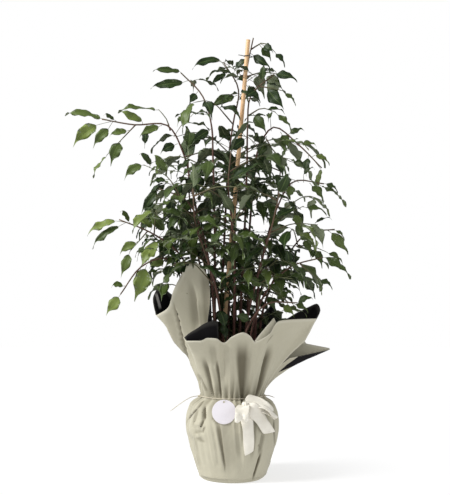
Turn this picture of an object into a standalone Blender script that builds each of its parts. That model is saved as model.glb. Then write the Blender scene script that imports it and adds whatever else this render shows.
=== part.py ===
"""A potted weeping fig, its pot gathered into two sheets of wrapping paper and tied with a bow.

Metres, +Z up. The front faces -Y, and the origin is on the floor under the middle of the pot.
Lengths in the tables below are centimetres, which CM turns into metres.
"""

import math
import random

import bmesh
import bpy
from mathutils import Matrix, Vector
from mathutils.bvhtree import BVHTree

CM = 0.01
UP = Vector((0.0, 0.0, 1.0))

# Viewpoint from which the across and up values in the tables were judged
EYE = Vector((-0.015, -2.34, 0.493))

# Nursery pot and soil, in centimetres
POT_FOOT = 0.14
POT_HEIGHT = 15.5
POT_BASE_RADIUS = 6.0
POT_RIM_RADIUS = 8.5
POT_WALL = 0.15
POT_LIP_HEIGHT = 0.9
POT_LIP_STEP = 0.2
POT_SIDES = 24
SOIL_TOP = 13.3
CLEAR = 0.03

# Stems, twigs and leaves, in centimetres
STEM_DEPTH = 2.7
STEM_COLLAR = 0.6
STEM_RADIUS = 0.36
STEM_TIP_RADIUS = 0.13
TWIG_RADIUS = 0.16
TWIG_TIP_RADIUS = 0.12
STEM_SIDES = 4
TWIG_SIDES = 3
STEM_STEP = 7.0
TWIG_STEP = 4.5
HOLE_CLEAR = 0.06
HOLE_OVER = 1.0
HOLE_SIDES = 7
PETIOLE = 0.12
SHORTEST_STALK = 0.8
BLADE_THICK = 0.12
BLADE_ARCH = 0.07
BLADE_FOLD = 0.15
BLADE_WAVE = 0.03
# Share of the length, share of the half width, and the way the edges wave
BLADE_ROWS = ((0.3, 0.94, 1), (0.65, 0.76, -1))
KEEP_CLEAR = 0.1
SHARPEST_STALK_TURN = math.radians(80)
LOWEST_SPRAY = 37.0
SPRAY_REACH = (10, 16)
LEAF_LENGTH = (5.6, 8.2)
LEAF_SPACING = 1.6
GOLDEN_TURN = math.radians(137.5)
# Where leaves grow by rule along a side twig and along the top of a stem, as shares of its length
TWIG_LEAVES = (0.4, 0.6, 0.8, 1.0)
TOP_LEAVES = (0.66, 0.76, 0.88, 1.0)
# Changes tried in turn until a stem, a twig or a leaf stands clear: in depth, or in turn and depth
STEM_SHIFTS = (0, 0.7, -0.7, 1.4, -1.4, 2.1, -2.1, 2.8, -2.8)
TWIG_SHIFTS = (0, -1, 1, -2, 2, -3, 3)
LEAF_SHIFTS = ((0, 0), (0, 1.5), (0, -1.5), (20, 0), (-20, 0), (20, 2), (-20, -2), (35, 3), (0, 3), (0, -3))
SPRAY_TRIES = 12
RULED_TRIES = 10
CURVE_STEPS = 8

# Bamboo cane, in centimetres
CANE_RADIUS = 0.5
CANE_DEPTH = 8.0
CANE_FOOT = (-3.3, 0.0)
CANE_TOP = (3.5, 94.0, 0.0)
CANE_SIDES = 12
TIE_HEIGHT = 90.5
TIE_POINTS = 16
TIE_END = (-1.2, -0.1, 0.2)

# Wrapping paper, in centimetres: height and radius of the body, and how far each row is pleated
PAPER = 0.1
PAPER_LAYER = 0.25
BODY_ROWS = (
    (0.0, 6.5, 0.0),
    (0.4, 7.05, 0.0),
    (7.0, 9.1, 0.12),
    (11.8, 9.9, 0.16),
    (15.8, 9.05, 0.14),
    (17.45, 6.75, 0.0),
    (17.95, 6.75, 0.0),
)
COLLAR_STEPS = (0.25, 0.52, 0.78, 1.0)
COLLAR_LIFT = 0.35
COLLAR_ROLL = 0.3
COLLAR_FLARE = 0.25
NECK_HEIGHT = 17.7
NECK_RADIUS = 6.75

# Rim of each sheet: turn to the right in degrees seen from above, then across, up and depth of the rim
FRONT_RIM = (
    (-62, -10.5, 29.9, -10.0),
    (-54, -9.7, 29.2, -11.5),
    (-44, -6.9, 29.2, -13.2),
    (-34, -5.2, 29.8, -13.8),
    (-24, -3.4, 29.7, -14.2),
    (-14, -1.7, 28.8, -11.8),
    (-4, 0.0, 30.1, -13.2),
    (6, 2.4, 31.0, -14.2),
    (15, 3.9, 30.3, -13.2),
    (24, 5.1, 29.0, -11.3),
    (33, 8.4, 31.0, -12.6),
    (41, 9.2, 32.5, -12.0),
    (49, 10.3, 33.5, -11.3),
    (59, 14.9, 33.9, -9.0),
    (68, 18.3, 34.0, -6.0),
    (76, 15.6, 29.0, -4.5),
)
BACK_RIM = (
    (-284, 12.5, 25.5, -1.5),
    (-276, 21.7, 27.5, 0.5),
    (-268, 15.2, 28.8, 1.6),
    (-260, 19.1, 35.7, 4.0),
    (-251, 18.2, 37.2, 5.5),
    (-242, 14.5, 35.5, 7.5),
    (-232, 11.0, 33.8, 9.0),
    (-222, 8.8, 37.4, 9.5),
    (-209, 5.8, 34.4, 11.2),
    (-194, 2.8, 33.4, 12.0),
    (-178, -1.0, 33.2, 12.0),
    (-162, -4.8, 33.8, 11.4),
    (-147, -8.8, 35.8, 9.8),
    (-132, -12.5, 38.8, 7.0),
    (-118, -15.6, 41.3, 3.5),
    (-106, -17.0, 38.2, 0.5),
    (-96, -16.4, 34.6, -2.5),
    (-86, -13.8, 36.4, -4.4),
    (-77, -12.6, 39.9, -5.5),
    (-70, -11.0, 43.3, -6.2),
    (-62, -9.6, 45.6, -6.8),
    (-54, -7.6, 46.0, -7.2),
    (-49, -5.3, 42.8, -7.5),
    (-44, -4.9, 38.0, -7.7),
    (-39, -5.6, 31.6, -7.9),
    (-34, -4.7, 23.0, -7.0),
    (-24, -3.1, 21.5, -7.1),
    (33, 4.2, 21.5, -6.4),
    (59, 6.7, 21.5, -4.0),
    (68, 8.3, 22.5, -3.2),
    (76, 12.5, 25.5, -1.5),
)

# Twine, ribbon and tag, in centimetres
TWINE_RADIUS = 0.09
RIBBON_THICK = 0.08
# Corners of a section of ribbon, and which of its sides is the front
RIBBON_CORNERS = 4
RIBBON_FRONT = 2
TAG_RADIUS = 2.5
TAG_THICK = 0.08
TAG_HOLE = 0.2
TAG_HOLE_INSET = 0.45
THREAD_PLAY = 0.25
TAG_ACROSS = -1.7
TAG_FOOT = 12.9
TAG_TOP_DEPTH = -9.1
TAG_SIDES = 24
TAG_HOLE_SIDES = 8
THREAD_RADIUS = 0.04
THREAD_HALF = 0.06
THREAD_SIDES = 5
TWINE_POINTS = 40
TWINE_SIDES = 5
# Turns in degrees between which the twine goes over the front sheet, and the turn that it climbs in
TWINE_OVER = (-80, 94)
TWINE_CLIMB = 8
# Each end of the twine: the number of the loop's point where it leaves, then the points that it goes to
TWINE_ENDS = (
    (12, ((-8.6, -3.4, 17.6), (-10.6, -4.6, 16.6), (-12.6, -5.4, 15.2))),
    (28, ((7.7, -3.2, 17.9), (8.6, -3.8, 17.7))),
)
# Bow: across, height and lift of the knot, then for each strip its width and points, given in the same way.
# A loop also has the direction of its width: shares to the right, up and outwards.
BOW_KNOT = (2.6, 16.9, 1.5)
BOW_KNOT_RADIUS = 0.75
BOW_KNOT_HALF = 0.6
BOW_KNOT_SIDES = 8
# Share of the ribbon's width at the first points of a strip, where the knot gathers it
BOW_PINCH = (0.35, 0.7, 0.95)
BOW_LOOPS = (
    (
        2.2,
        (0.0, 1.0, -0.8),
        (
            (2.9, 16.9, 1.55),
            (4.2, 17.4, 2.4),
            (6.1, 17.2, 2.7),
            (7.8, 16.4, 2.2),
            (8.5, 15.9, 1.6),
            (7.6, 16.1, 1.1),
            (5.7, 16.8, 1.0),
            (4.0, 17.0, 1.2),
        ),
    ),
    (
        2.3,
        (1.0, 0.0, 0.0),
        (
            (2.25, 16.75, 1.6),
            (2.1, 16.3, 2.4),
            (1.98, 15.2, 2.9),
            (1.95, 13.9, 2.8),
            (1.95, 12.9, 2.1),
            (1.95, 13.2, 1.4),
            (2.05, 14.2, 1.25),
            (2.15, 15.5, 1.35),
        ),
    ),
)
BOW_TAILS = (
    (
        2.1,
        (
            (2.85, 16.75, 1.6),
            (3.3, 16.1, 1.2),
            (3.9, 15.5, 0.8),
            (5.4, 13.8, 0.5),
            (7.1, 11.8, 0.3),
            (8.6, 9.8, 0.3),
        ),
    ),
    (
        2.3,
        (
            (2.3, 16.65, 1.15),
            (2.55, 16.05, 0.75),
            (3.0, 15.4, 0.35),
            (3.5, 13.2, 0.2),
            (3.8, 11.6, 0.2),
            (3.9, 6.6, 0.25),
        ),
    ),
)

TIED_STEM = "leafy_stem_crown"
LEAF_SEED = 100

# Widest spread of the leaves at each height: height, then the left and right limits as seen
SPREAD = (
    (30, -12, 12),
    (36, -18, 18),
    (44, -20, 21),
    (52, -22, 23),
    (60, -18, 23),
    (68, -18, 20),
    (74, -20, 15),
    (80, -13, 12),
    (87, -10, 11),
    (93, 0, 8),
    (95, 2, 6),
)
DEEPEST = ((30, 10), (45, 20), (60, 20), (75, 15), (90, 5), (96, 3))

# Each leafy stem: where it leaves the soil, then its path, its twigs and its best seen leaves.
# Points are across, up and depth. A leaf is the base and tip as seen, its width and its turn in degrees.
STEMS = {
    "leafy_stem_crown": {
        "foot": (-1.0, 1.6),
        "path": (
            (-0.8, 32, 2.2),
            (-0.3, 50, 2.8),
            (1.2, 66, 2.6),
            (2.6, 80, 1.9),
            (3.4, 89, 1.3),
            (4.6, 94.4, 0.6),
        ),
        "twigs": (((4.0, 92, 1), (6.6, 93.4, 0.2), (9.2, 91.4, -0.6)),),
        "leaves": (
            (3.6, 94.7, -0.2, 94.2, 2.0, 35),
            (5.1, 95.2, 8.9, 91.7, 2.2, 10),
            (9.0, 91.6, 11.4, 88.7, 1.7, 40),
            (4.2, 91.4, 8.4, 88.2, 2.1, 10),
            (3.0, 90.6, 0.4, 87.4, 2.0, 20),
            (2.6, 84.0, 6.2, 81.0, 2.2, 10),
        ),
        "sprays": 3,
    },
    "leafy_stem_top_left": {
        "foot": (-3.4, 2.9),
        "path": (
            (-2.6, 32, 3.8),
            (-1.6, 52, 4.4),
            (-0.6, 70, 4.2),
            (1.4, 83.5, 2.8),
            (0.0, 87, 1.9),
            (-1.9, 89.2, 1.4),
        ),
        "twigs": (),
        "leaves": (
            (-2.6, 89.6, -8.6, 88.2, 2.2, 30),
            (-1.2, 87.6, -4.6, 84.4, 1.6, 20),
            (0.9, 82.0, -4.6, 79.6, 2.6, 20),
            (1.2, 85.4, 4.4, 86.2, 1.6, 30),
        ),
        "sprays": 3,
    },
    "leafy_stem_upper_left": {
        "foot": (-4.7, -1.6),
        "path": (
            (-3.8, 32, -2.0),
            (-3.7, 50, -3.0),
            (-4.0, 66, -3.6),
            (-4.7, 78.5, -3.9),
            (-6.4, 82, -3.8),
            (-8.6, 83.8, -3.5),
            (-11.0, 86.9, -3.2),
        ),
        "twigs": (),
        "leaves": (
            (-11.3, 87.2, -17.1, 87.8, 1.9, 35),
            (-10.6, 84.8, -17.6, 84.1, 2.4, 20),
            (-7.0, 83.6, -9.2, 80.4, 2.0, 10),
            (-5.4, 77.9, -12.3, 78.0, 1.6, 70),
            (-4.4, 74.5, -8.6, 72.0, 2.4, 10),
        ),
        "sprays": 3,
    },
    "leafy_stem_left_arm": {
        "foot": (-5.7, 1.0),
        "path": (
            (-5.0, 32, 1.3),
            (-6.2, 48, 1.0),
            (-8.2, 60, 0.4),
            (-10.6, 70, -0.6),
            (-13.6, 75.4, -1.6),
            (-19.0, 75.6, -2.4),
            (-25.0, 76.0, -3.0),
            (-28.0, 76.9, -3.4),
        ),
        "twigs": (
            ((-20.5, 75.5, -2.6), (-23.4, 72.9, -3.4), (-26.9, 69.2, -4.0)),
            ((-12.6, 74.6, -1.3), (-14.4, 77.6, -1.2), (-15.8, 79, -1.2)),
        ),
        "leaves": (
            (-28.3, 77.1, -36.0, 78.3, 2.3, 45),
            (-29.2, 75.6, -34.2, 71.5, 3.2, 5),
            (-26.6, 74.8, -29.9, 71.2, 2.5, 10),
            (-22.4, 75.0, -26.4, 73.7, 2.0, 30),
            (-24.3, 77.3, -27.6, 78.3, 1.3, 40),
            (-19.4, 76.5, -24.2, 79.0, 2.1, 20),
            (-16.2, 79.1, -24.6, 78.9, 1.8, 65),
            (-15.4, 75.0, -20.0, 73.4, 2.2, 20),
            (-23.6, 72.3, -26.1, 67.4, 3.0, 5),
            (-27.0, 69.0, -29.9, 64.9, 1.9, 70),
            (-11.4, 72.0, -15.4, 70.0, 2.4, 15),
            (-18.0, 75.4, -18.8, 71.2, 2.0, 30),
        ),
        "sprays": 2,
    },
    "leafy_stem_left_high": {
        "foot": (-2.6, -4.4),
        "path": (
            (-3.7, 32, -5.8),
            (-4.9, 46, -6.6),
            (-7.5, 56, -7.6),
            (-10.6, 60.2, -8.4),
            (-13.9, 62.3, -9.2),
            (-15.7, 61.9, -9.6),
        ),
        "twigs": (((-10.6, 60.4, -8.4), (-14.6, 65.2, -8.8), (-19.0, 67.1, -9.0)),),
        "leaves": (
            (-16.2, 61.4, -19.6, 57.0, 2.4, 10),
            (-9.0, 62.6, -10.9, 58.9, 2.9, 5),
            (-19.5, 67.0, -23.2, 64.4, 2.4, 20),
            (-17.4, 67.2, -19.9, 70.0, 1.8, 30),
            (-14.0, 65.8, -16.8, 69.8, 2.2, 10),
            (-13.4, 64.0, -17.0, 63.4, 1.8, 40),
            (-12.4, 60.8, -13.4, 56.4, 2.4, 20),
            (-6.4, 54.0, -10.0, 50.4, 2.6, 10),
        ),
        "sprays": 3,
    },
    "leafy_stem_left_middle": {
        "foot": (-4.9, -3.4),
        "path": (
            (-5.0, 31, -4.2),
            (-7.5, 40, -5.4),
            (-11.0, 47.5, -6.4),
            (-15.9, 51.8, -7.2),
            (-20.0, 53.2, -7.6),
            (-24.3, 55.3, -8.0),
        ),
        "twigs": (((-18.0, 52.6, -7.4), (-20.6, 50.0, -8.2), (-22.0, 48.4, -8.6)),),
        "leaves": (
            (-25.2, 55.0, -31.2, 52.4, 2.3, 35),
            (-24.4, 53.8, -30.1, 49.6, 2.0, 30),
            (-14.6, 53.0, -18.3, 57.4, 2.6, 10),
            (-17.2, 53.6, -20.6, 56.6, 2.0, 20),
            (-20.8, 51.4, -24.2, 48.2, 2.2, 15),
            (-22.2, 48.0, -23.9, 43.4, 2.4, 10),
            (-13.4, 50.8, -15.4, 47.6, 2.4, 10),
            (-21.4, 54.4, -24.0, 57.6, 1.6, 40),
            (-9.6, 45.4, -12.6, 42.4, 2.6, 10),
        ),
        "sprays": 2,
    },
    "leafy_stem_left_low": {
        "foot": (-5.8, -0.9),
        "path": (
            (-5.6, 31, -1.2),
            (-8.0, 38.5, -3.2),
            (-11.5, 44.5, -5.2),
            (-15.0, 47.6, -6.8),
            (-18.4, 46.6, -8.2),
            (-21.2, 42.4, -9.0),
            (-24.0, 39.2, -9.4),
        ),
        "twigs": (),
        "leaves": (
            (-18.4, 45.7, -21.0, 38.3, 4.2, 0),
            (-24.4, 38.6, -27.1, 35.3, 2.8, 10),
            (-21.0, 40.6, -19.2, 31.2, 2.1, 60),
            (-14.6, 48.8, -17.8, 45.4, 2.4, 10),
            (-12.6, 46.4, -14.0, 42.2, 2.6, 10),
            (-22.6, 41.0, -26.0, 41.2, 1.9, 40),
            (-9.8, 43.0, -8.6, 38.6, 2.4, 20),
        ),
        "sprays": 1,
    },
    "leafy_stem_top_right": {
        "foot": (1.4, -0.8),
        "path": (
            (1.7, 32, -1.2),
            (2.6, 50, -1.8),
            (3.2, 66, -2.6),
            (3.4, 76, -3.0),
            (4.1, 82.0, -3.0),
            (6.3, 84.9, -3.2),
            (9.1, 86.6, -3.4),
        ),
        "twigs": (
            ((5.6, 84.0, -3.1), (8.4, 83.6, -3.6), (11.0, 83.0, -4.0)),
            ((3.5, 78, -3), (7.0, 79.4, -4), (9.4, 78.4, -4.4)),
        ),
        "leaves": (
            (9.4, 86.5, 14.1, 85.5, 2.1, 25),
            (7.4, 84.2, 11.2, 79.6, 3.2, 0),
            (11.2, 82.9, 13.7, 80.4, 1.7, 55),
            (9.6, 78.2, 13.0, 74.6, 1.8, 50),
            (7.0, 79.8, 11.4, 78.6, 1.6, 65),
            (5.4, 83.6, 2.8, 81.6, 2.0, 20),
            (6.4, 85.4, 6.9, 89.0, 1.8, 20),
            (4.6, 77.8, 7.4, 74.4, 2.6, 5),
            (2.6, 73.0, -1.0, 70.0, 2.6, 10),
        ),
        "sprays": 3,
    },
    "leafy_stem_right_arm": {
        "foot": (3.4, 1.8),
        "path": (
            (3.4, 32, 2.4),
            (3.6, 50, 2.2),
            (4.8, 64, 1.2),
            (6.2, 73, 0.2),
            (8.9, 75.2, -0.8),
            (11.8, 73.9, -1.8),
            (14.2, 71.5, -2.4),
            (17.4, 69.2, -3.0),
            (19.3, 66.4, -3.4),
        ),
        "twigs": (((6.4, 73.4, 0), (9.4, 69.6, -2.0), (12.6, 67.8, -3.2)),),
        "leaves": (
            (19.2, 66.0, 18.4, 62.0, 1.8, 40),
            (18.0, 69.2, 21.0, 67.6, 1.7, 45),
            (16.6, 69.4, 16.0, 65.2, 2.0, 20),
            (14.6, 71.8, 18.2, 71.6, 1.7, 50),
            (12.4, 73.8, 15.6, 75.0, 1.7, 40),
            (10.4, 74.4, 12.2, 70.8, 2.2, 15),
            (12.9, 67.6, 16.4, 66.2, 2.0, 40),
            (10.0, 69.0, 11.0, 64.8, 2.4, 10),
            (7.2, 72.4, 5.6, 68.6, 2.4, 10),
        ),
        "sprays": 2,
    },
    "leafy_stem_right_middle": {
        "foot": (4.6, -2.6),
        "path": (
            (5.0, 32, -3.2),
            (6.4, 46, -4.6),
            (9.0, 56, -5.4),
            (11.8, 61.6, -6.0),
            (14.4, 64.5, -6.4),
            (17.2, 64.3, -6.6),
            (19.8, 63.0, -6.8),
        ),
        "twigs": (((8.0, 53, -5.2), (12.2, 57.0, -7.0), (15.4, 58.2, -7.8)),),
        "leaves": (
            (20.2, 63.0, 22.8, 61.6, 1.5, 45),
            (19.3, 62.5, 24.6, 58.7, 2.0, 55),
            (16.4, 63.6, 19.7, 59.4, 2.2, 35),
            (15.8, 58.0, 20.4, 56.8, 1.8, 55),
            (13.2, 57.0, 14.6, 53.0, 2.2, 20),
            (13.2, 63.8, 12.2, 60.0, 2.2, 15),
            (15.4, 65.0, 17.8, 66.8, 1.4, 50),
            (9.8, 57.0, 8.4, 52.6, 2.6, 5),
            (11.4, 61.6, 9.0, 65.0, 2.2, 15),
        ),
        "sprays": 2,
    },
    "leafy_stem_right_outer": {
        "foot": (5.5, 1.0),
        "path": (
            (6.0, 32, 1.4),
            (8.8, 42, 0.8),
            (13.0, 49, -0.6),
            (17.0, 53.0, -1.8),
            (20.4, 54.3, -2.4),
            (22.1, 53.2, -2.8),
        ),
        "twigs": (((13.4, 49.6, -0.8), (17.2, 49.6, -2.6), (20.2, 48.4, -3.4)),),
        "leaves": (
            (22.4, 53.0, 24.2, 51.4, 1.2, 50),
            (21.4, 52.4, 25.0, 48.4, 2.6, 20),
            (17.9, 54.6, 21.6, 55.8, 1.2, 65),
            (20.5, 48.2, 23.8, 46.4, 1.7, 50),
            (17.8, 49.0, 19.4, 45.4, 2.0, 25),
            (14.6, 51.2, 13.6, 54.4, 2.2, 20),
            (15.4, 51.4, 17.0, 47.8, 2.0, 30),
            (10.6, 45.6, 12.6, 42.0, 2.4, 15),
        ),
        "sprays": 2,
    },
    "leafy_stem_right_low": {
        "foot": (2.8, -4.6),
        "path": (
            (4.2, 31, -5.6),
            (6.8, 38.5, -7.4),
            (10.0, 43.5, -8.8),
            (13.8, 45.6, -9.8),
            (19.6, 47.2, -10.4),
        ),
        "twigs": (((14.6, 45.9, -9.9), (17.2, 43.6, -10.6), (18.4, 42.6, -11)),),
        "leaves": (
            (20.0, 47.2, 25.6, 43.2, 2.4, 40),
            (18.6, 42.5, 21.6, 40.8, 1.9, 50),
            (16.6, 46.6, 18.2, 49.6, 1.6, 45),
            (12.6, 45.2, 11.6, 49.2, 2.2, 15),
            (11.2, 43.8, 14.4, 41.6, 1.8, 40),
            (15.0, 45.4, 14.6, 41.8, 2.0, 20),
            (8.0, 40.6, 5.4, 44.0, 2.4, 10),
            (7.6, 39.2, 9.4, 35.8, 2.0, 15),
        ),
        "sprays": 1,
    },
    "leafy_stem_front_low": {
        "foot": (0.8, -5.4),
        "path": (
            (2.4, 28, -6.8),
            (4.6, 34.5, -8.4),
            (8.0, 37.4, -10.2),
            (11.4, 37.6, -11.6),
            (14.0, 37.4, -12.4),
        ),
        "twigs": (((5.2, 35.4, -8.8), (6.2, 40.0, -9.6), (8.1, 42.6, -10.2)),),
        "leaves": (
            (14.2, 37.5, 17.6, 38.6, 1.8, 35),
            (13.2, 37.2, 16.4, 35.8, 1.8, 40),
            (10.6, 37.0, 13.4, 34.9, 1.9, 25),
            (9.6, 38.2, 13.4, 40.0, 1.8, 40),
            (8.4, 42.8, 11.6, 43.4, 1.6, 40),
            (8.0, 41.6, 10.6, 39.4, 1.9, 20),
            (6.4, 41.0, 3.0, 43.0, 2.2, 15),
            (3.8, 33.6, 0.8, 34.8, 2.2, 10),
        ),
        "sprays": 0,
    },
    "leafy_stem_front_left": {
        "foot": (-1.9, -2.4),
        "path": (
            (-2.1, 31, -4.0),
            (-3.8, 42, -8.4),
            (-6.4, 50, -12.0),
            (-8.2, 56, -13.8),
            (-8.4, 62, -14.6),
        ),
        "twigs": (),
        "leaves": ((-2.4, 33.4, -1.4, 29.2, 2.0, 15),),
        "sprays": 4,
    },
    "leafy_stem_front_right": {
        "foot": (2.3, -2.4),
        "path": ((2.9, 31, -3.8), (5.2, 42, -8.4), (7.4, 50, -12.2), (9.2, 56, -14.4), (10.2, 61, -15.4)),
        "twigs": (),
        "leaves": (),
        "sprays": 4,
    },
    "leafy_stem_front_middle": {
        "foot": (0.3, -3.3),
        "path": ((0.4, 31, -4.6), (0.6, 43, -8.0), (0.0, 54, -11.0), (-0.8, 63, -12.4), (-0.2, 70, -12.4)),
        "twigs": (),
        "leaves": (),
        "sprays": 5,
    },
    "leafy_stem_back_left": {
        "foot": (-2.4, 5.4),
        "path": ((-4.2, 32, 7.6), (-7.0, 46, 10.6), (-9.0, 58, 12.6), (-9.4, 68, 13.0)),
        "twigs": (),
        "leaves": (),
        "sprays": 4,
    },
    "leafy_stem_back_middle": {
        "foot": (0.8, 4.0),
        "path": ((0.8, 32, 5.4), (0.6, 50, 7.4), (1.0, 64, 8.4), (1.4, 75, 8.0)),
        "twigs": (),
        "leaves": (),
        "sprays": 4,
    },
    "leafy_stem_back_right": {
        "foot": (3.2, 5.0),
        "path": ((4.6, 32, 7.6), (7.6, 46, 10.8), (9.6, 58, 12.8), (10.6, 68, 13.4)),
        "twigs": (),
        "leaves": (),
        "sprays": 4,
    },
}


def place(across, up, depth):
    """The point at a depth that is seen where across and up are in the plane through the pot's middle."""
    seen_at = Vector((across * CM, 0.0, up * CM))
    return EYE + (seen_at - EYE) * ((depth * CM - EYE.y) / -EYE.y)


def seen(point):
    """Across, up and depth, in centimetres, of a point."""
    flat = EYE + (point - EYE) / ((point.y - EYE.y) / -EYE.y)
    return flat.x / CM, flat.z / CM, point.y / CM


def between(table, at):
    """The values of a table of rows at a place in its first column, in straight lines from row to row."""
    rows = sorted(table)
    at = min(max(at, rows[0][0]), rows[-1][0])
    for low, high in zip(rows, rows[1:]):
        if at <= high[0]:
            share = (at - low[0]) / (high[0] - low[0])
            return [a + (b - a) * share for a, b in zip(low[1:], high[1:])]
    return list(rows[-1][1:])


def smooth_line(points, spacing):
    """Points at even steps along a smooth curve through the given ones."""
    ends = [points[0] * 2 - points[1], *points, points[-1] * 2 - points[-2]]
    dense = []
    for a, b, c, d in zip(ends, ends[1:], ends[2:], ends[3:]):
        for step in range(CURVE_STEPS):
            t = step / CURVE_STEPS
            bend = (a * 2 - b * 5 + c * 4 - d) * t**2 + (b * 3 - a - c * 3 + d) * t**3
            dense.append((b * 2 + (c - a) * t + bend) / 2)
    dense.append(points[-1])
    total = sum((b - a).length for a, b in zip(dense, dense[1:]))
    count = max(2, round(total / (spacing * CM)))
    return [along(dense, step / count) for step in range(count + 1)]


def along(line, share):
    """The point a share of the way along a line of points."""
    lengths = [(b - a).length for a, b in zip(line, line[1:])]
    left = share * sum(lengths)
    for a, b, length in zip(line, line[1:], lengths):
        if left <= length:
            return a.lerp(b, left / length)
        left -= length
    return line[-1].copy()


def heading(line, share):
    """The direction of a line of points a share of the way along it."""
    return (along(line, min(share + 0.03, 1.0)) - along(line, max(share - 0.03, 0.0))).normalized()


def loft(rings, closed_ends=True):
    """Vertices and faces through rings of as many points each."""
    verts = [point for ring in rings for point in ring]
    size = len(rings[0])
    faces = []
    for row in range(len(rings) - 1):
        for i in range(size):
            a, b = row * size + i, row * size + (i + 1) % size
            faces.append((a, b, b + size, a + size))
    if closed_ends:
        faces.append(tuple(reversed(range(size))))
        faces.append(tuple(range(len(verts) - size, len(verts))))
    return verts, faces


def circle_rings(points, radii, sides, round_trip=False):
    """Rings of points square to a line, turned as little as possible from one to the next."""
    rings = []
    across = None
    last = len(points) - 1
    for i, (point, radius) in enumerate(zip(points, radii)):
        before = points[i - 1] if round_trip or i else point
        after = points[(i + 1) % len(points)] if round_trip or i < last else point
        ahead = (after - before).normalized()
        if across is None:
            across = ahead.orthogonal()
        across = (across - ahead * across.dot(ahead)).normalized()
        over = ahead.cross(across)
        turns = [math.tau * side / sides for side in range(sides)]
        rings.append([point + (across * math.cos(turn) + over * math.sin(turn)) * radius for turn in turns])
    return rings


def tube(points, first, last, sides):
    """Closed tube along a line, its radius going from first to last."""
    steps = len(points) - 1
    radii = [(first + (last - first) * i / steps) * CM for i in range(steps + 1)]
    return loft(circle_rings(points, radii, sides))


def hoop(points, radius, sides):
    """Closed tube along a line that comes back to its start."""
    rings = circle_rings(points, [radius * CM] * len(points), sides, round_trip=True)
    return loft([*rings, rings[0]], closed_ends=False)


def leaf_frame(ahead, side, normal):
    """Side and upward directions of a leaf's section square to a direction."""
    flat_side = side - ahead * side.dot(ahead)
    flat_normal = normal - ahead * normal.dot(ahead)
    if flat_side.length > flat_normal.length:
        flat_side.normalize()
        return flat_side, flat_side.cross(ahead)
    flat_normal.normalize()
    return ahead.cross(flat_normal), flat_normal


def blade(leaf, margin=0.0):
    """Petiole and blade of a leaf with a keel under its midrib, arched and waved, coming to a drip tip."""
    root, base, tip, facing, width = leaf
    axis = (tip - base).normalized()
    normal = (facing - axis * facing.dot(axis)).normalized()
    side = axis.cross(normal)
    length = (tip - base).length
    stalk = (PETIOLE / 2 + margin) * CM
    keel = (BLADE_THICK + margin) * CM
    half = (width / 2 + margin) * CM
    stem = (base - root).normalized()
    start = root.lerp(base, 0.3) if margin else root
    verts = []
    for point, ahead in ((start, stem), (base, (stem + axis * 1.2).normalized())):
        across, over = leaf_frame(ahead, side, normal)
        top = point + over * stalk / 2
        verts += [top - across * stalk, top + across * stalk, point - over * stalk]
    for share, spread, wave in BLADE_ROWS:
        middle = base + axis * (length * share) + normal * (length * BLADE_ARCH * 4 * share * (1 - share))
        out = side * half * spread
        lift = normal * (half * spread * BLADE_FOLD)
        ripple = normal * (length * BLADE_WAVE * wave)
        verts += [middle - out + lift + ripple, middle + out + lift - ripple, middle - normal * keel]
    verts.append(tip + axis * (margin * CM))
    last = len(verts) - 1
    faces = [(0, 1, 2)]
    for row in range(0, last - 3, 3):
        left, right, under = row, row + 1, row + 2
        for edge, other in ((left, right), (right, under), (left, under)):
            faces += [(edge, other, other + 3), (edge, other + 3, edge + 3)]
    faces += [(last - 3, last - 2, last), (last - 2, last - 1, last), (last - 1, last - 3, last)]
    return verts, faces


class Clump:
    """All that has grown so far, so that what grows next is bent clear of it."""

    def __init__(self):
        self.grown = []

    def add(self, owner, shape):
        """Remember a shape under the name of what it belongs to."""
        self.grown.append((owner, *self.bounds(shape[0]), BVHTree.FromPolygons(*shape)))

    def clear(self, shape, own=()):
        """Whether a shape crosses nothing but its own twig."""
        middle, reach = self.bounds(shape[0])
        tree = BVHTree.FromPolygons(*shape)
        return not any(
            owner not in own and (middle - other).length < reach + far and tree.overlap(grown)
            for owner, other, far, grown in self.grown
        )

    @staticmethod
    def bounds(points):
        """Middle and reach of a set of points."""
        low = Vector([min(point[i] for point in points) for i in range(3)])
        high = Vector([max(point[i] for point in points) for i in range(3)])
        return (low + high) / 2, (high - low).length / 2


def sheet_angles():
    """Every turn at which either sheet has a column, going round from the back's right edge."""
    return sorted({row[0] for row in FRONT_RIM} | {row[0] for row in BACK_RIM})


def sheet_column(angle, rim, pleat, layer):
    """Points of one column of a sheet, from the foot of the body up to the rim."""
    turn = math.radians(angle)
    outward = Vector((math.sin(turn), -math.cos(turn), 0.0))
    column = [
        (outward * (radius + layer + pleat * deep) + UP * height) * CM for height, radius, deep in BODY_ROWS
    ]
    neck = column[-1]
    top = place(*rim)
    reach = (top - neck).length
    chord = (top - neck) / reach
    flare = Vector((top.x, top.y, 0.0)).normalized()
    first = neck + (chord + UP).normalized() * reach * COLLAR_LIFT
    second = top - chord.lerp(flare, COLLAR_FLARE).normalized() * reach * COLLAR_ROLL
    for t in COLLAR_STEPS:
        s = 1 - t
        column.append(neck * s**3 + first * 3 * s * s * t + second * 3 * s * t * t + top * t**3)
    return column


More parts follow.
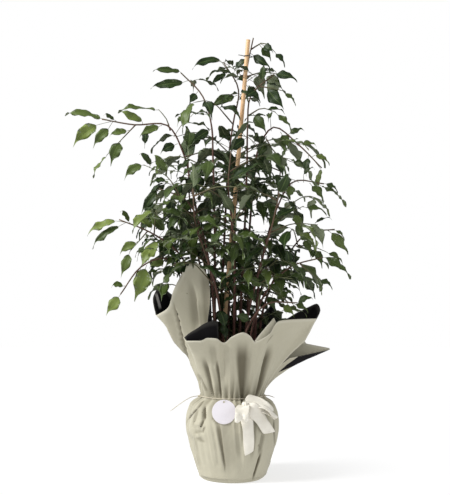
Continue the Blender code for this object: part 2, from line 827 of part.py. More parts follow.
def sheet_shape(columns, round_trip):
    """Closed sheet of paper through columns of points, thickened towards the inside."""
    count, rows = len(columns), len(columns[0])
    inner = []
    for i, column in enumerate(columns):
        left = columns[i - 1] if round_trip or i else column
        right = columns[(i + 1) % count] if round_trip or i < count - 1 else column
        inside = []
        for j, point in enumerate(column):
            along_row = right[j] - left[j]
            upward = column[min(j + 1, rows - 1)] - column[max(j - 1, 0)]
            inside.append(point - along_row.cross(upward).normalized() * PAPER * CM)
        if round_trip:
            inside[0] = column[0] * ((BODY_ROWS[0][1] - PAPER) / BODY_ROWS[0][1]) + UP * PAPER * CM
            inside[0].z = PAPER * CM
        inner.append(inside)
    verts = [point for column in columns + inner for point in column]
    back = count * rows
    faces = []
    for i in range(count if round_trip else count - 1):
        a, b = i * rows, (i + 1) % count * rows
        for j in range(rows - 1):
            outer = [(a + j, b + j, b + j + 1), (a + j, b + j + 1, a + j + 1)]
            faces += outer + [(back + first, back + third, back + second) for first, second, third in outer]
        faces += strip(a + rows - 1, b + rows - 1, back)
        if not round_trip:
            faces += strip(b, a, back)
    if round_trip:
        middle = len(verts)
        verts += [Vector((0, 0, 0)), Vector((0, 0, PAPER * CM))]
        for i in range(count):
            a, b = i * rows, (i + 1) % count * rows
            faces += [(b, a, middle), (back + a, back + b, middle + 1)]
    else:
        for j in range(rows - 1):
            faces += strip(j, j + 1, back)
            last = (count - 1) * rows + j
            faces += strip(last + 1, last, back)
    return verts, faces


def strip(a, b, back):
    """Two triangles from an edge of the outer face of a sheet to the inner one."""
    return [(a, b, back + b), (a, back + b, back + a)]


def paper_shapes():
    """The back sheet, which goes under and all round the pot, and the front sheet over it."""
    angles = sheet_angles()
    pleats = {angle: 1 if i % 2 else -1 for i, angle in enumerate(angles)}
    round_rim = angles[1:] if angles[0] + 360 == angles[-1] else angles
    back = [sheet_column(angle, between(BACK_RIM, angle), pleats[angle], 0.0) for angle in round_rim]
    turns = [angle for angle in angles if FRONT_RIM[0][0] <= angle <= FRONT_RIM[-1][0]]
    rims = [between(FRONT_RIM, turn) for turn in turns]
    front = [sheet_column(turn, rim, pleats[turn], PAPER_LAYER)[1:] for turn, rim in zip(turns, rims)]
    return sheet_shape(back, True), sheet_shape(front, False)


def cane_line():
    """The two ends of the cane, the foot down in the soil."""
    top = place(*CANE_TOP)
    at_soil = Vector((CANE_FOOT[0], CANE_FOOT[1], SOIL_TOP)) * CM
    lean = (top - at_soil).normalized()
    return at_soil - lean * CANE_DEPTH * CM, top


def tie_line(stem):
    """The loop of the plant tie round the cane and the stem behind it."""
    foot, top = cane_line()
    height = TIE_HEIGHT * CM
    at_cane = foot.lerp(top, (height - foot.z) / (top.z - foot.z))
    at_stem = min((along(stem, step / 200) for step in range(201)), key=lambda point: abs(point.z - height))
    away = at_stem - at_cane
    away.z = 0.0
    reach = away.length
    away.normalize()
    across = away.cross(UP)
    room = (CANE_RADIUS + CLEAR * 2 + TWINE_RADIUS) * CM
    loop = []
    for step in range(TIE_POINTS):
        turn = math.tau * (step + 0.5) / TIE_POINTS
        centre = at_cane if math.cos(turn) < 0 else at_cane + away * reach
        loop.append(centre + (away * math.cos(turn) + across * math.sin(turn)) * room)
    return loop


def in_spread(point):
    """Whether a point keeps inside the outline of the plant."""
    across, up, depth = seen(point)
    left, right = between(SPREAD, up)
    in_height = SPREAD[0][0] < up < SPREAD[-1][0]
    return left < across < right and abs(depth) < between(DEEPEST, up)[0] and in_height


def stem_tube(line, margin=0.0):
    """Tapered tube of a stem along its line."""
    return tube(line, STEM_RADIUS + margin, STEM_TIP_RADIUS + margin, STEM_SIDES)


def twig_tube(line, margin=0.0):
    """Tapered tube of a twig along its line."""
    return tube(line, TWIG_RADIUS + margin, TWIG_TIP_RADIUS + margin, TWIG_SIDES)


def stem_line(name, clump):
    """The line of a stem from its foot in the soil, kept clear of the stems before it, and its tube."""
    spec = STEMS[name]
    foot = Vector((spec["foot"][0], spec["foot"][1], SOIL_TOP - STEM_DEPTH)) * CM
    collar = foot + UP * (STEM_DEPTH + STEM_COLLAR) * CM
    for shift in STEM_SHIFTS:
        path = [place(across, up, depth + shift) for across, up, depth in spec["path"]]
        line = [foot, *smooth_line([collar, *path], STEM_STEP)]
        if clump.clear(stem_tube(line, KEEP_CLEAR)):
            break
    return line


def nearest_root(lines, across, up):
    """The line and the point on a plant's lines that is seen nearest to a spot."""
    best = None
    for index, line in enumerate(lines):
        for step in range(5, 98):
            point = along(line, step / 100)
            spot = seen(point)
            far = math.hypot(spot[0] - across, spot[1] - up)
            if best is None or far < best[0]:
                best = (far, index, point)
    return best[1], best[2]


def shown_leaf(lines, row, turn_more, depth_more):
    """A leaf from a row of a table, on the nearest twig."""
    base_across, base_up, tip_across, tip_up, width, turn = row
    index, root = nearest_root(lines, base_across, base_up)
    depth = root.y / CM
    base = place(base_across, base_up, depth - 0.3)
    tip = place(tip_across, tip_up, depth - 1.0 + depth_more)
    stalk = base - root
    if stalk.length < SHORTEST_STALK * CM or stalk.angle(tip - base) > SHARPEST_STALK_TURN:
        base = root + (tip - root).normalized() * SHORTEST_STALK * CM
    axis = (tip - base).normalized()
    viewer = EYE - base
    viewer = (viewer - axis * viewer.dot(axis)).normalized()
    spin = math.radians(turn + turn_more)
    spun = [Matrix.Rotation(angle, 3, axis) @ viewer for angle in (spin, -spin)]
    return index, (root, base, tip, max(spun, key=lambda facing: facing.z), width)


def grow_shown(name, lines, owners, clump, leaves):
    """Add the leaves of a stem's table."""
    for row in STEMS[name]["leaves"]:
        for turn_more, depth_more in LEAF_SHIFTS:
            index, leaf = shown_leaf(lines, row, turn_more, depth_more)
            if clump.clear(blade(leaf, KEEP_CLEAR), (owners[index],)):
                clump.add(name + " leaf", blade(leaf))
                leaves.append(leaf)
                break


def grow_twigs(name, lines, owners, clump):
    """Add the twigs of a stem's table."""
    for number, row in enumerate(STEMS[name]["twigs"]):
        index, root = nearest_root(lines[:1], row[0][0], row[0][1])
        for shift in TWIG_SHIFTS:
            path = [place(across, up, depth + shift) for across, up, depth in row[1:]]
            line = smooth_line([root, *path], TWIG_STEP)
            if clump.clear(twig_tube(line, KEEP_CLEAR), (owners[index],)):
                break
        owner = f"{name} twig {number}"
        clump.add(owner, twig_tube(line))
        lines.append(line)
        owners.append(owner)


def grow_sprays(name, lines, owners, clump, draw):
    """Add side twigs by rule up the stem, each turned on from the last and drooping at its end."""
    stem = lines[0]
    count = STEMS[name]["sprays"]
    turn = draw.uniform(0, math.tau)
    top = seen(stem[-1])[1]
    for number in range(count):
        height = LOWEST_SPRAY + (top - LOWEST_SPRAY) * (number + draw.uniform(0.2, 0.8)) / count
        shares = [step / 100 for step in range(101)]
        share = min(shares, key=lambda at: abs(seen(along(stem, at))[1] - height))
        root = along(stem, share)
        for attempt in range(SPRAY_TRIES):
            turn += GOLDEN_TURN
            reach = draw.uniform(*SPRAY_REACH) * 0.92**attempt * CM
            out = Vector((math.cos(turn), math.sin(turn), 0.0))
            rise = draw.uniform(0.25, 0.75)
            bend = root + (out * 0.55 + UP * rise * 0.55) * reach
            end = root + (out + UP * rise * 0.45) * reach
            line = smooth_line([root, bend, end], TWIG_STEP)
            if in_spread(end) and clump.clear(twig_tube(line, KEEP_CLEAR), (owners[0],)):
                owner = f"{name} spray {number}"
                clump.add(owner, twig_tube(line))
                lines.append(line)
                owners.append(owner)
                break


def ruled_leaf(root, ahead, side, draw, length):
    """A leaf that leaves a twig to one side and droops."""
    out = ahead * draw.uniform(0.3, 0.8) + side * draw.uniform(0.6, 1.0) + UP * draw.uniform(-0.5, 0.15)
    out.normalize()
    base = root + (out + UP * 0.25).normalized() * draw.uniform(0.9, 1.4) * CM
    fall = (out * draw.uniform(0.6, 1.0) - UP * draw.uniform(0.2, 0.8)).normalized()
    tip = base + fall * length * CM
    facing = (UP + out * 0.6 + Vector([draw.uniform(-0.5, 0.5) for _ in range(3)])).normalized()
    return root, base, tip, facing, length * draw.uniform(0.41, 0.52)


def grow_ruled(name, lines, owners, clump, draw, leaves):
    """Add leaves by rule in two ranks along each side twig, and on the top of the stem."""
    for index, (line, owner) in enumerate(zip(lines, owners)):
        if "twig" in owner:
            continue
        shares = TWIG_LEAVES if index else TOP_LEAVES
        if not index and not STEMS[name]["sprays"]:
            continue
        for rank, share in enumerate(shares):
            root = along(line, min(share, 0.985))
            if any((root - leaf[0]).length < LEAF_SPACING * CM for leaf in leaves):
                continue
            ahead = heading(line, share)
            side = ahead.cross(UP).normalized() * (1 if rank % 2 else -1)
            if share == 1.0:
                side = ahead
            for attempt in range(RULED_TRIES):
                leaf = ruled_leaf(root, ahead, side, draw, draw.uniform(*LEAF_LENGTH) * 0.96**attempt)
                if in_spread(leaf[2]) and clump.clear(blade(leaf, KEEP_CLEAR), (owner,)):
                    clump.add(name + " leaf", blade(leaf))
                    leaves.append(leaf)
                    break


def grow_plant(obstacles):
    """For each stem its lines, the names of those lines and its leaves, all clear of what grew before."""
    clump = Clump()
    for name, shape in obstacles:
        clump.add(name, shape)
    clump.add("cane", tube(cane_line(), CANE_RADIUS, CANE_RADIUS, 8))
    plants = {}
    for name in STEMS:
        line = stem_line(name, clump)
        clump.add(name, stem_tube(line))
        plants[name] = ([line], [name], [])
    clump.add("plant_tie", hoop(tie_line(plants[TIED_STEM][0][0]), TWINE_RADIUS + KEEP_CLEAR, 4))
    for name, (lines, owners, _) in plants.items():
        grow_twigs(name, lines, owners, clump)
    for name, (lines, owners, leaves) in plants.items():
        grow_shown(name, lines, owners, clump, leaves)
    for seed, (name, (lines, owners, _)) in enumerate(plants.items()):
        grow_sprays(name, lines, owners, clump, random.Random(seed))
    for seed, (name, (lines, owners, leaves)) in enumerate(plants.items()):
        grow_ruled(name, lines, owners, clump, random.Random(LEAF_SEED + seed), leaves)
    return plants


def material(name, colour, roughness, metallic=0.0):
    """A plain material of one colour."""
    made = bpy.data.materials.new(name)
    made.use_nodes = True
    shader = made.node_tree.nodes["Principled BSDF"]
    shader.inputs["Base Color"].default_value = (*colour, 1.0)
    shader.inputs["Roughness"].default_value = roughness
    shader.inputs["Metallic"].default_value = metallic
    return made


def solid(name, shape, finish=None, collection=None):
    """An object from vertices and faces, with its faces turned outwards."""
    mesh = bpy.data.meshes.new(name)
    mesh.from_pydata(shape[0], [], shape[1])
    work = bmesh.new()
    work.from_mesh(mesh)
    bmesh.ops.remove_doubles(work, verts=work.verts, dist=1e-7)
    bmesh.ops.recalc_face_normals(work, faces=work.faces)
    work.to_mesh(mesh)
    work.free()
    made = bpy.data.objects.new(name, mesh)
    (collection or bpy.context.scene.collection).objects.link(made)
    if finish:
        mesh.materials.append(finish)
    return made


def joined(base, shapes, operation="UNION"):
    """Join shapes to an object, or cut them from it, in one Boolean, and remove them."""
    helpers = bpy.data.collections.new(base.name + " pieces")
    bpy.context.scene.collection.children.link(helpers)
    pieces = [solid(f"{base.name} piece {i}", shape, None, helpers) for i, shape in enumerate(shapes)]
    fuse = base.modifiers.new("Join", "BOOLEAN")
    fuse.operation = operation
    fuse.operand_type = "COLLECTION"
    fuse.collection = helpers
    fuse.solver = "MANIFOLD"
    graph = bpy.context.evaluated_depsgraph_get()
    whole = bpy.data.meshes.new_from_object(base.evaluated_get(graph))
    base.modifiers.remove(fuse)
    base.data = whole
    for piece in pieces:
        bpy.data.objects.remove(piece)
    bpy.data.collections.remove(helpers)


def soften(made, angle=40):
    """Shade a piece smooth but for its sharp edges."""
    made.data.shade_smooth()
    made.data.set_sharp_from_angle(angle=math.radians(angle))


def make_pot(finish):
    """Nursery pot with a lip round its rim."""
    foot, top = POT_FOOT, POT_FOOT + POT_HEIGHT
    wall_top = POT_RIM_RADIUS - POT_LIP_STEP
    profile = (
        (0.0001, foot),
        (POT_BASE_RADIUS, foot),
        (wall_top, top - POT_LIP_HEIGHT),
        (POT_RIM_RADIUS, top - POT_LIP_HEIGHT),
        (POT_RIM_RADIUS, top),
        (wall_top - POT_WALL, top),
        (wall_top - POT_WALL, top - POT_LIP_HEIGHT),
        (POT_BASE_RADIUS - POT_WALL, foot + POT_WALL),
        (0.0001, foot + POT_WALL),
    )
    return turned_cup("nursery_pot", profile, finish)


def turned_cup(name, profile, finish):
    """A solid of revolution whose outline starts and ends on the axis."""
    sides = POT_SIDES
    verts = [Vector((0, 0, profile[0][1])) * CM, Vector((0, 0, profile[-1][1])) * CM]
    for radius, height in profile[1:-1]:
        for step in range(sides):
            turn = math.tau * step / sides
            verts.append(Vector((radius * math.cos(turn), radius * math.sin(turn), height)) * CM)
    faces = []
    rings = len(profile) - 2
    for i in range(sides):
        j = (i + 1) % sides
        faces.append((0, 2 + j, 2 + i))
        for ring in range(rings - 1):
            a = 2 + ring * sides
            faces.append((a + i, a + j, a + sides + j, a + sides + i))
        last = 2 + (rings - 1) * sides
        faces.append((1, last + i, last + j))
    return solid(name, (verts, faces), finish)


def soil_hole(foot, top, radius, sides):
    """Tube that cuts a plain hole from just under a foot to well over the soil."""
    lean = (top - foot).normalized()
    ends = [foot - lean * CLEAR * CM, top + lean * HOLE_OVER * CM]
    return tube(ends, radius + HOLE_CLEAR, radius + HOLE_CLEAR, sides)


def make_soil(finish, plants):
    """Soil that fills the pot, with a plain hole for each stem and for the cane."""
    slope = (POT_RIM_RADIUS - POT_LIP_STEP - POT_BASE_RADIUS) / (POT_HEIGHT - POT_LIP_HEIGHT)
    inside = POT_FOOT + POT_WALL
    foot = inside + CLEAR
    room = POT_BASE_RADIUS - POT_WALL - CLEAR * 1.5
    profile = (
        (0.0, foot),
        (room + slope * (foot - inside), foot),
        (room + slope * (SOIL_TOP - inside), SOIL_TOP),
        (0.0, SOIL_TOP),
    )
    made = turned_cup("soil", profile, finish)
    feet = [lines[0][0] for lines, _, _ in plants.values()]
    holes = [soil_hole(at, at + UP * STEM_DEPTH * CM, STEM_RADIUS, HOLE_SIDES) for at in feet]
    low, high = cane_line()
    lean = (high - low).normalized()
    holes.append(soil_hole(low, low + lean * CANE_DEPTH * CM, CANE_RADIUS, CANE_SIDES))
    joined(made, holes, "DIFFERENCE")
    return made


def outward_at(point):
    """The level direction away from the pot's axis at a point."""
    return Vector((point.x, point.y, 0.0)).normalized()


def ribbon_rings(points, acrosses, aheads):
    """Sections of a ribbon, from its half widths and its directions."""
    rings = []
    for point, across, ahead in zip(points, acrosses, aheads):
        over = across.cross(ahead).normalized() * RIBBON_THICK * CM / 2
        left, right = point - across, point + across
        rings.append([left - over, right - over, right + over, left + over])
    return rings


def halved(shape):
    """A ribbon with its four-sided faces cut in two, its front and its back on the same diagonal."""
    verts, faces = shape
    parts = []
    for number, face in enumerate(faces):
        if number % RIBBON_CORNERS == RIBBON_FRONT:
            face = (*face[1:], face[0])
        parts += [face[:3], (face[0], *face[2:])]
    return verts, parts


def ribbon_loop(wide, lean, points):
    """Ring of ribbon, pinched at the knot, whose width keeps one direction: to the right, up and outwards."""
    count = len(points)
    aheads = [(points[(i + 1) % count] - points[i - 1]).normalized() for i in range(count)]
    out = outward_at(sum(points, Vector()))
    across = (UP.cross(out) * lean[0] + UP * lean[1] + out * lean[2]).normalized() * wide * CM / 2
    rings = ribbon_rings(points, [across * BOW_PINCH[0], *[across] * (count - 1)], aheads)
    return loft([*rings, rings[0]], closed_ends=False)


def ribbon_tail(wide, points):
    """Strip of ribbon, pinched at the knot, that comes down to lie on the paper."""
    aheads = [(b - a).normalized() for a, b in zip([points[0], *points], [*points[1:], points[-1]])]
    sides = [ahead.cross(outward_at(point)).normalized() for point, ahead in zip(points, aheads)]
    shares = [*BOW_PINCH, *[1.0] * (len(points) - len(BOW_PINCH))]
    acrosses = [side * share * wide * CM / 2 for side, share in zip(sides, shares)]
    return loft(ribbon_rings(points, acrosses, aheads))


def paper_radius(height):
    """Radius in centimetres of the front sheet's outer face at a height on the body, on top of a pleat."""
    radius, pleat = between(BODY_ROWS, height)
    return radius + pleat + PAPER_LAYER


def on_paper(across, height, lift):
    """The point in front of the body of the paper at a place across and a height, lifted off it."""
    reach = paper_radius(height) + lift
    return Vector((across, -math.sqrt(reach * reach - across * across), height)) * CM


def twine_loop():
    """Points of the twine round the neck of the paper, over both sheets."""
    points = []
    for step in range(TWINE_POINTS):
        angle = -180 + 360 * step / TWINE_POINTS
        into = min((angle - TWINE_OVER[0]) / TWINE_CLIMB, (TWINE_OVER[1] - angle) / TWINE_CLIMB)
        radius = NECK_RADIUS + PAPER_LAYER * max(0.0, min(1.0, into)) + TWINE_RADIUS + CLEAR
        turn = math.radians(angle)
        points.append(Vector((math.sin(turn) * radius, -math.cos(turn) * radius, NECK_HEIGHT)) * CM)
    return points


def make_twine(finish):
    """Twine tied round the neck of the paper, with its two ends."""
    points = twine_loop()
    made = solid("tie_twine", hoop(points, TWINE_RADIUS, TWINE_SIDES), finish)
    ends = [[points[start], *(Vector(point) * CM for point in line)] for start, line in TWINE_ENDS]
    joined(made, [tube(line, TWINE_RADIUS * 0.9, TWINE_RADIUS * 0.6, TWINE_SIDES) for line in ends])
    return made


def make_bow(finish):
    """Satin ribbon bow at the neck: a knot, two loops, and two tails that lie on the paper."""
    knot = on_paper(*BOW_KNOT)
    half = UP * BOW_KNOT_HALF * CM
    knot_shape = tube([knot - half, knot + half], BOW_KNOT_RADIUS, BOW_KNOT_RADIUS, BOW_KNOT_SIDES)
    made = solid("ribbon_bow", knot_shape, finish)
    loops = [ribbon_loop(wide, lean, [on_paper(*point) for point in line]) for wide, lean, line in BOW_LOOPS]
    tails = [ribbon_tail(wide, [on_paper(*point) for point in line]) for wide, line in BOW_TAILS]
    joined(made, [halved(strip) for strip in loops + tails])
    return made


def tag_frame():
    """Middle of the tag, the direction to its top and the direction that its front faces."""
    low = on_paper(TAG_ACROSS, TAG_FOOT, CLEAR + TAG_THICK)
    high = Vector((TAG_ACROSS, TAG_TOP_DEPTH, TAG_FOOT + TAG_RADIUS * 2)) * CM
    rise = (high - low).normalized()
    facing = rise.cross(Vector((-1.0, 0.0, 0.0))).normalized()
    return low + rise * TAG_RADIUS * CM, rise, facing


def make_tag(finish):
    """Round card tag with a hole near its top."""
    centre, rise, facing = tag_frame()
    front = facing * TAG_THICK * CM / 2
    made = solid("tag", tube([centre - front, centre + front], TAG_RADIUS, TAG_RADIUS, TAG_SIDES), finish)
    hole = centre + rise * (TAG_RADIUS - TAG_HOLE_INSET) * CM
    cutter = tube([hole - front * 4, hole + front * 4], TAG_HOLE, TAG_HOLE, TAG_HOLE_SIDES)
    joined(made, [cutter], "DIFFERENCE")
    return made


def thread_loop():
    """Points of the thread that goes through the tag's hole and up to the twine, which holds its top."""
    centre, rise, facing = tag_frame()
    hole = centre + rise * (TAG_RADIUS - TAG_HOLE_INSET) * CM
    flat_of_hole = TAG_HOLE * math.cos(math.pi / TAG_HOLE_SIDES)
    hang = hole + rise * (flat_of_hole - THREAD_RADIUS - CLEAR) * CM
    reach = (NECK_RADIUS + PAPER_LAYER + CLEAR * 2 + TWINE_RADIUS * 2 + THREAD_RADIUS) * CM
    far = Vector((hole.x, -math.sqrt(reach * reach - hole.x * hole.x), NECK_HEIGHT * CM))
    over = hole + rise * (TAG_HOLE_INSET + TAG_HOLE) * CM
    play = facing * THREAD_PLAY * CM
    return [
        hang + play,
        over + play,
        far + UP * THREAD_HALF * CM,
        far - UP * THREAD_HALF * CM,
        over - play * 1.4 - rise * (TAG_HOLE + 0.1) * CM,
        hang - play,
    ]


def make_plant_tie(stem, finish):
    """Soft tie round the cane and the tallest stem, with a short end at its left."""
    loop = tie_line(stem)
    made = solid("plant_tie", hoop(loop, TWINE_RADIUS, TWINE_SIDES), finish)
    left = min(loop, key=lambda point: point.x)
    joined(made, [tube([left, left + Vector(TIE_END) * CM], TWINE_RADIUS, TWINE_RADIUS, TWINE_SIDES)])
    return made


def make_stem(name, plant, finish):
    """One leafy stem, its twigs and leaves fused with it."""
    lines, _, leaves = plant
    made = solid(name, stem_tube(lines[0]), finish)
    joined(made, [twig_tube(line) for line in lines[1:]] + [blade(leaf) for leaf in leaves])


def main():
    for old in list(bpy.data.objects):
        bpy.data.objects.remove(old)
    paper = material("paper", (0.52, 0.5, 0.4), 0.85)
    back_sheet, front_sheet = paper_shapes()
    solid("wrap_back_sheet", back_sheet, paper)
    solid("wrap_front_sheet", front_sheet, paper)
    plants = grow_plant((("wrap_back_sheet", back_sheet), ("wrap_front_sheet", front_sheet)))
    leaf_green = material("leaf", (0.04, 0.09, 0.02), 0.45)
    for name, plant in plants.items():
        make_stem(name, plant, leaf_green)
    bamboo = material("bamboo", (0.6, 0.4, 0.2), 0.5)
    twine = material("twine", (0.8, 0.75, 0.62), 0.8)
    for made in (
        make_pot(material("pot_plastic", (0.05, 0.05, 0.05), 0.6)),
        make_soil(material("soil", (0.04, 0.025, 0.015), 0.95), plants),
        solid("cane", tube(cane_line(), CANE_RADIUS, CANE_RADIUS, CANE_SIDES), bamboo),
        make_twine(twine),
        make_bow(material("satin", (0.82, 0.78, 0.68), 0.35)),
        make_tag(material("card", (0.9, 0.88, 0.92), 0.7)),
        solid("tag_thread", hoop(thread_loop(), THREAD_RADIUS, THREAD_SIDES), twine),
        make_plant_tie(plants[TIED_STEM][0][0], material("tie", (0.05, 0.04, 0.03), 0.7)),
    ):
        soften(made)


main()
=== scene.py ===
"""Looks of the potted weeping fig: fine foliage, creased two-tone paper, satin bow, tag, twine and cane.

Metres, +Z up. The front faces -Y, and the origin is on the floor under the middle of the pot.
Lengths in the tables below are centimetres, which CM turns into metres. Turns round the pot are degrees
from its front, to the right when positive.
"""

import math
import random

import bmesh
import bpy
import numpy as np
from mathutils import Matrix, Vector, noise
from mathutils.bvhtree import BVHTree


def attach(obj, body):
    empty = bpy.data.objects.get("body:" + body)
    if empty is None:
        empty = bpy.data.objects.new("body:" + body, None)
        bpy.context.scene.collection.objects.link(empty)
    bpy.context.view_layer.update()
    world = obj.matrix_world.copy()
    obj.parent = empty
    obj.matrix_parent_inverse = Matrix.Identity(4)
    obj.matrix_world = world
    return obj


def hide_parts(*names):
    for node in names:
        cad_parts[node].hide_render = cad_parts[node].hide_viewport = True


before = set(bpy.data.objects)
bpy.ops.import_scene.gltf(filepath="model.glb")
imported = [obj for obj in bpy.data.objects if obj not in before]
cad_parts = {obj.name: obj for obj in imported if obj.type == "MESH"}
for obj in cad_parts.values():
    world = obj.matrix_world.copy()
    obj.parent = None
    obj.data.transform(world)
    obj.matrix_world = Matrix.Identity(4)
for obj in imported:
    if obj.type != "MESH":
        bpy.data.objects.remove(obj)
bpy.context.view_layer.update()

CM = 0.01
UP = Vector((0.0, 0.0, 1.0))

# Camera: the eye looks level along +Y
EYE = Vector((-0.015, -2.34, 0.493))
LENS = 79.1
SENSOR = 36.0

# Lights: name, spot, aim, size and power; then the floor, its fade and the world, in metres
LIGHTS = (
    ("key", (-2.2, -1.0, 2.1), (0.0, 0.0, 0.5), 1.3, 116.0),
    ("fill", (2.0, -1.9, 0.9), (0.0, 0.0, 0.4), 1.4, 13.0),
)
FLOOR_HALF = 3.0
FLOOR_FADE = (0.1, 0.45)
WORLD_LIGHT = 0.5
WORLD_SHOWN = 1.0

# Nursery pot and soil
POT_FOOT = 0.14
POT_HEIGHT = 15.5
POT_BASE_RADIUS = 6.0
POT_RIM_RADIUS = 8.5
POT_WALL = 0.15
POT_LIP_HEIGHT = 0.9
POT_LIP_STEP = 0.2
POT_ROWS = 28
POT_RIB = 0.06
POT_SIDES = 96
SOIL_TOP = 13.3
SOIL_RINGS = 44
SOIL_SIDES = 120
SOIL_GRAINS = 260
GRAIN_ROWS = 5
GRAIN_SIDES = 7
GRAIN_SIZE = (0.1, 0.26)
CHIP_SIZE = (0.25, 0.55)

# Room left between pieces, and room kept free round all that grows
CLEAR = 0.03
KEEP_CLEAR = 0.1

# Stems and twigs
STEM_DEPTH = 2.7
STEM_COLLAR = 0.6
STEM_RADIUS = 0.36
STEM_TIP_RADIUS = 0.13
TWIG_RADIUS = 0.16
TWIG_TIP_RADIUS = 0.12
STEM_SIDES = 4
TWIG_SIDES = 3
STEM_STEP = 7.0
TWIG_STEP = 4.5
CURVE_STEPS = 8
BARK_STEP = 1.4
ROUND_STEM_SIDES = 8
ROUND_TWIG_SIDES = 6
STALK_SIDES = 5

# Leaves: stalk, and rows of a blade as share of its length, share of its width and side of its wave
PETIOLE = 0.12
SHORTEST_STALK = 0.8
SHARPEST_STALK_TURN = math.radians(80)
BLADE_THICK = 0.12
BLADE_ARCH = 0.07
BLADE_FOLD = 0.15
BLADE_WAVE = 0.03
BLADE_ROWS = ((0.3, 0.94, 1), (0.65, 0.76, -1))

# Growth by rule: heights, reaches, lengths and places of leaves, how often each is tried, and how much
# shorter it gets with each try
LOWEST_SPRAY = 37.0
SPRAY_REACH = (10, 16)
LEAF_LENGTH = (5.6, 8.2)
LEAF_SPACING = 1.6
GOLDEN_TURN = math.radians(137.5)
TWIG_LEAVES = (0.4, 0.6, 0.8, 1.0)
TOP_LEAVES = (0.66, 0.76, 0.88, 1.0)
LAST_ROOT = 0.985
SPRAY_TRIES = 12
SPRAY_SHORTER = 0.92
RULED_TRIES = 10
RULED_SHORTER = 0.96

# Shifts tried in turn until a stem, twig or leaf is clear: depths, or degrees turned and depths
STEM_SHIFTS = (0, 0.7, -0.7, 1.4, -1.4, 2.1, -2.1, 2.8, -2.8)
TWIG_SHIFTS = (0, -1, 1, -2, 2, -3, 3)
LEAF_SHIFTS = ((0, 0), (0, 1.5), (0, -1.5), (20, 0), (-20, 0), (20, 2), (-20, -2), (35, 3), (0, 3), (0, -3))

# Cane, and the tie round it and the tallest stem
CANE_RADIUS = 0.5
CANE_DEPTH = 8.0
CANE_FOOT = (-3.3, 0.0)
CANE_TOP = (3.5, 94.0, 0.0)
CANE_SIDES = 24
CANE_STEPS = 170
CANE_JOINT_FIRST = 12.0
CANE_JOINT_STEP = 11.5
CANE_JOINTS = 7
CANE_SWELL = 0.9
TIE_HEIGHT = 90.5
TIE_POINTS = 16
TIE_END = (-1.2, -0.1, 0.2)
TIED_STEM = "leafy_stem_crown"

# Wrapping paper: room for a second layer, and rows of the body as height, radius and depth of pleats
PAPER_LAYER = 0.25
BODY_ROWS = (
    (0.0, 6.5, 0.0), (0.4, 7.05, 0.0), (7.0, 9.1, 0.12), (11.8, 9.9, 0.16), (15.8, 9.05, 0.14),
    (17.45, 6.75, 0.0), (17.95, 6.75, 0.0),
)
BODY_CORNERS = (0.4, 17.45)
COLLAR_LIFT = 0.35
COLLAR_ROLL = 0.3
COLLAR_FLARE = 0.25
NECK_HEIGHT = 17.7
NECK_RADIUS = 6.75

# Rims of the two sheets: turn, across, up and depth
FRONT_RIM = (
    (-62, -10.5, 29.9, -10.0), (-54, -9.7, 29.2, -11.5), (-44, -6.9, 29.2, -13.2), (-34, -5.2, 29.8, -13.8),
    (-24, -3.4, 29.7, -14.2), (-14, -1.7, 28.8, -11.8), (-4, 0.0, 30.1, -13.2), (6, 2.4, 31.0, -14.2),
    (15, 3.9, 30.3, -13.2), (24, 5.1, 29.0, -11.3), (33, 8.4, 31.0, -12.6), (41, 9.2, 32.5, -12.0),
    (49, 10.3, 33.5, -11.3), (59, 14.9, 33.9, -9.0), (68, 18.3, 34.0, -6.0), (76, 15.6, 29.0, -4.5),
)
BACK_RIM = (
    (-284, 12.5, 25.5, -1.5), (-276, 21.7, 27.5, 0.5), (-268, 15.2, 28.8, 1.6), (-260, 19.1, 35.7, 4.0),
    (-251, 18.2, 37.2, 5.5), (-242, 14.5, 35.5, 7.5), (-232, 11.0, 33.8, 9.0), (-222, 8.8, 37.4, 9.5),
    (-209, 5.8, 34.4, 11.2), (-194, 2.8, 33.4, 12.0), (-178, -1.0, 33.2, 12.0), (-162, -4.8, 33.8, 11.4),
    (-147, -8.8, 35.8, 9.8), (-132, -12.5, 38.8, 7.0), (-118, -15.6, 41.3, 3.5), (-106, -17.0, 38.2, 0.5),
    (-96, -16.4, 34.6, -2.5), (-86, -13.8, 36.4, -4.4), (-77, -12.6, 39.9, -5.5), (-70, -11.0, 43.3, -6.2),
    (-62, -9.6, 45.6, -6.8), (-54, -7.6, 46.0, -7.2), (-49, -5.3, 42.8, -7.5), (-44, -4.9, 38.0, -7.7),
    (-39, -5.6, 31.6, -7.9), (-34, -4.7, 23.0, -7.0), (-24, -3.1, 21.5, -7.1), (33, 4.2, 21.5, -6.4),
    (59, 6.7, 21.5, -4.0), (68, 8.3, 22.5, -3.2), (76, 12.5, 25.5, -1.5),
)

# Twine round the neck, and its two ends: the point of the loop where each starts, and its way
TWINE_RADIUS = 0.09
TWINE_POINTS = 40
TWINE_OVER = (-80, 94)
TWINE_CLIMB = 8
TWINE_HAIRS = 7
TWINE_ENDS = (
    (12, ((-8.6, -3.4, 17.6), (-10.6, -4.6, 16.6), (-12.6, -5.4, 15.2))),
    (28, ((7.7, -3.2, 17.9), (8.6, -3.8, 17.7))),
)

# Tag and its thread
TAG_RADIUS = 2.5
TAG_THICK = 0.08
TAG_HOLE = 0.2
TAG_HOLE_INSET = 0.45
TAG_ACROSS = -1.7
TAG_FOOT = 12.9
TAG_TOP_DEPTH = -9.1
TAG_HOLE_SIDES = 8
TAG_SIDES = 72
THREAD_PLAY = 0.25
THREAD_RADIUS = 0.04
THREAD_HALF = 0.06

# Bow, with points as across, up and lifted off the paper
BOW_KNOT = (2.65, 16.75, 1.5)
BOW_KNOT_RADIUS = 0.7
BOW_KNOT_HALF = 0.6
KNOT_ROWS = 14
KNOT_SIDES = 40
KNOT_PLEATS = 7
BOW_PINCH = 0.42

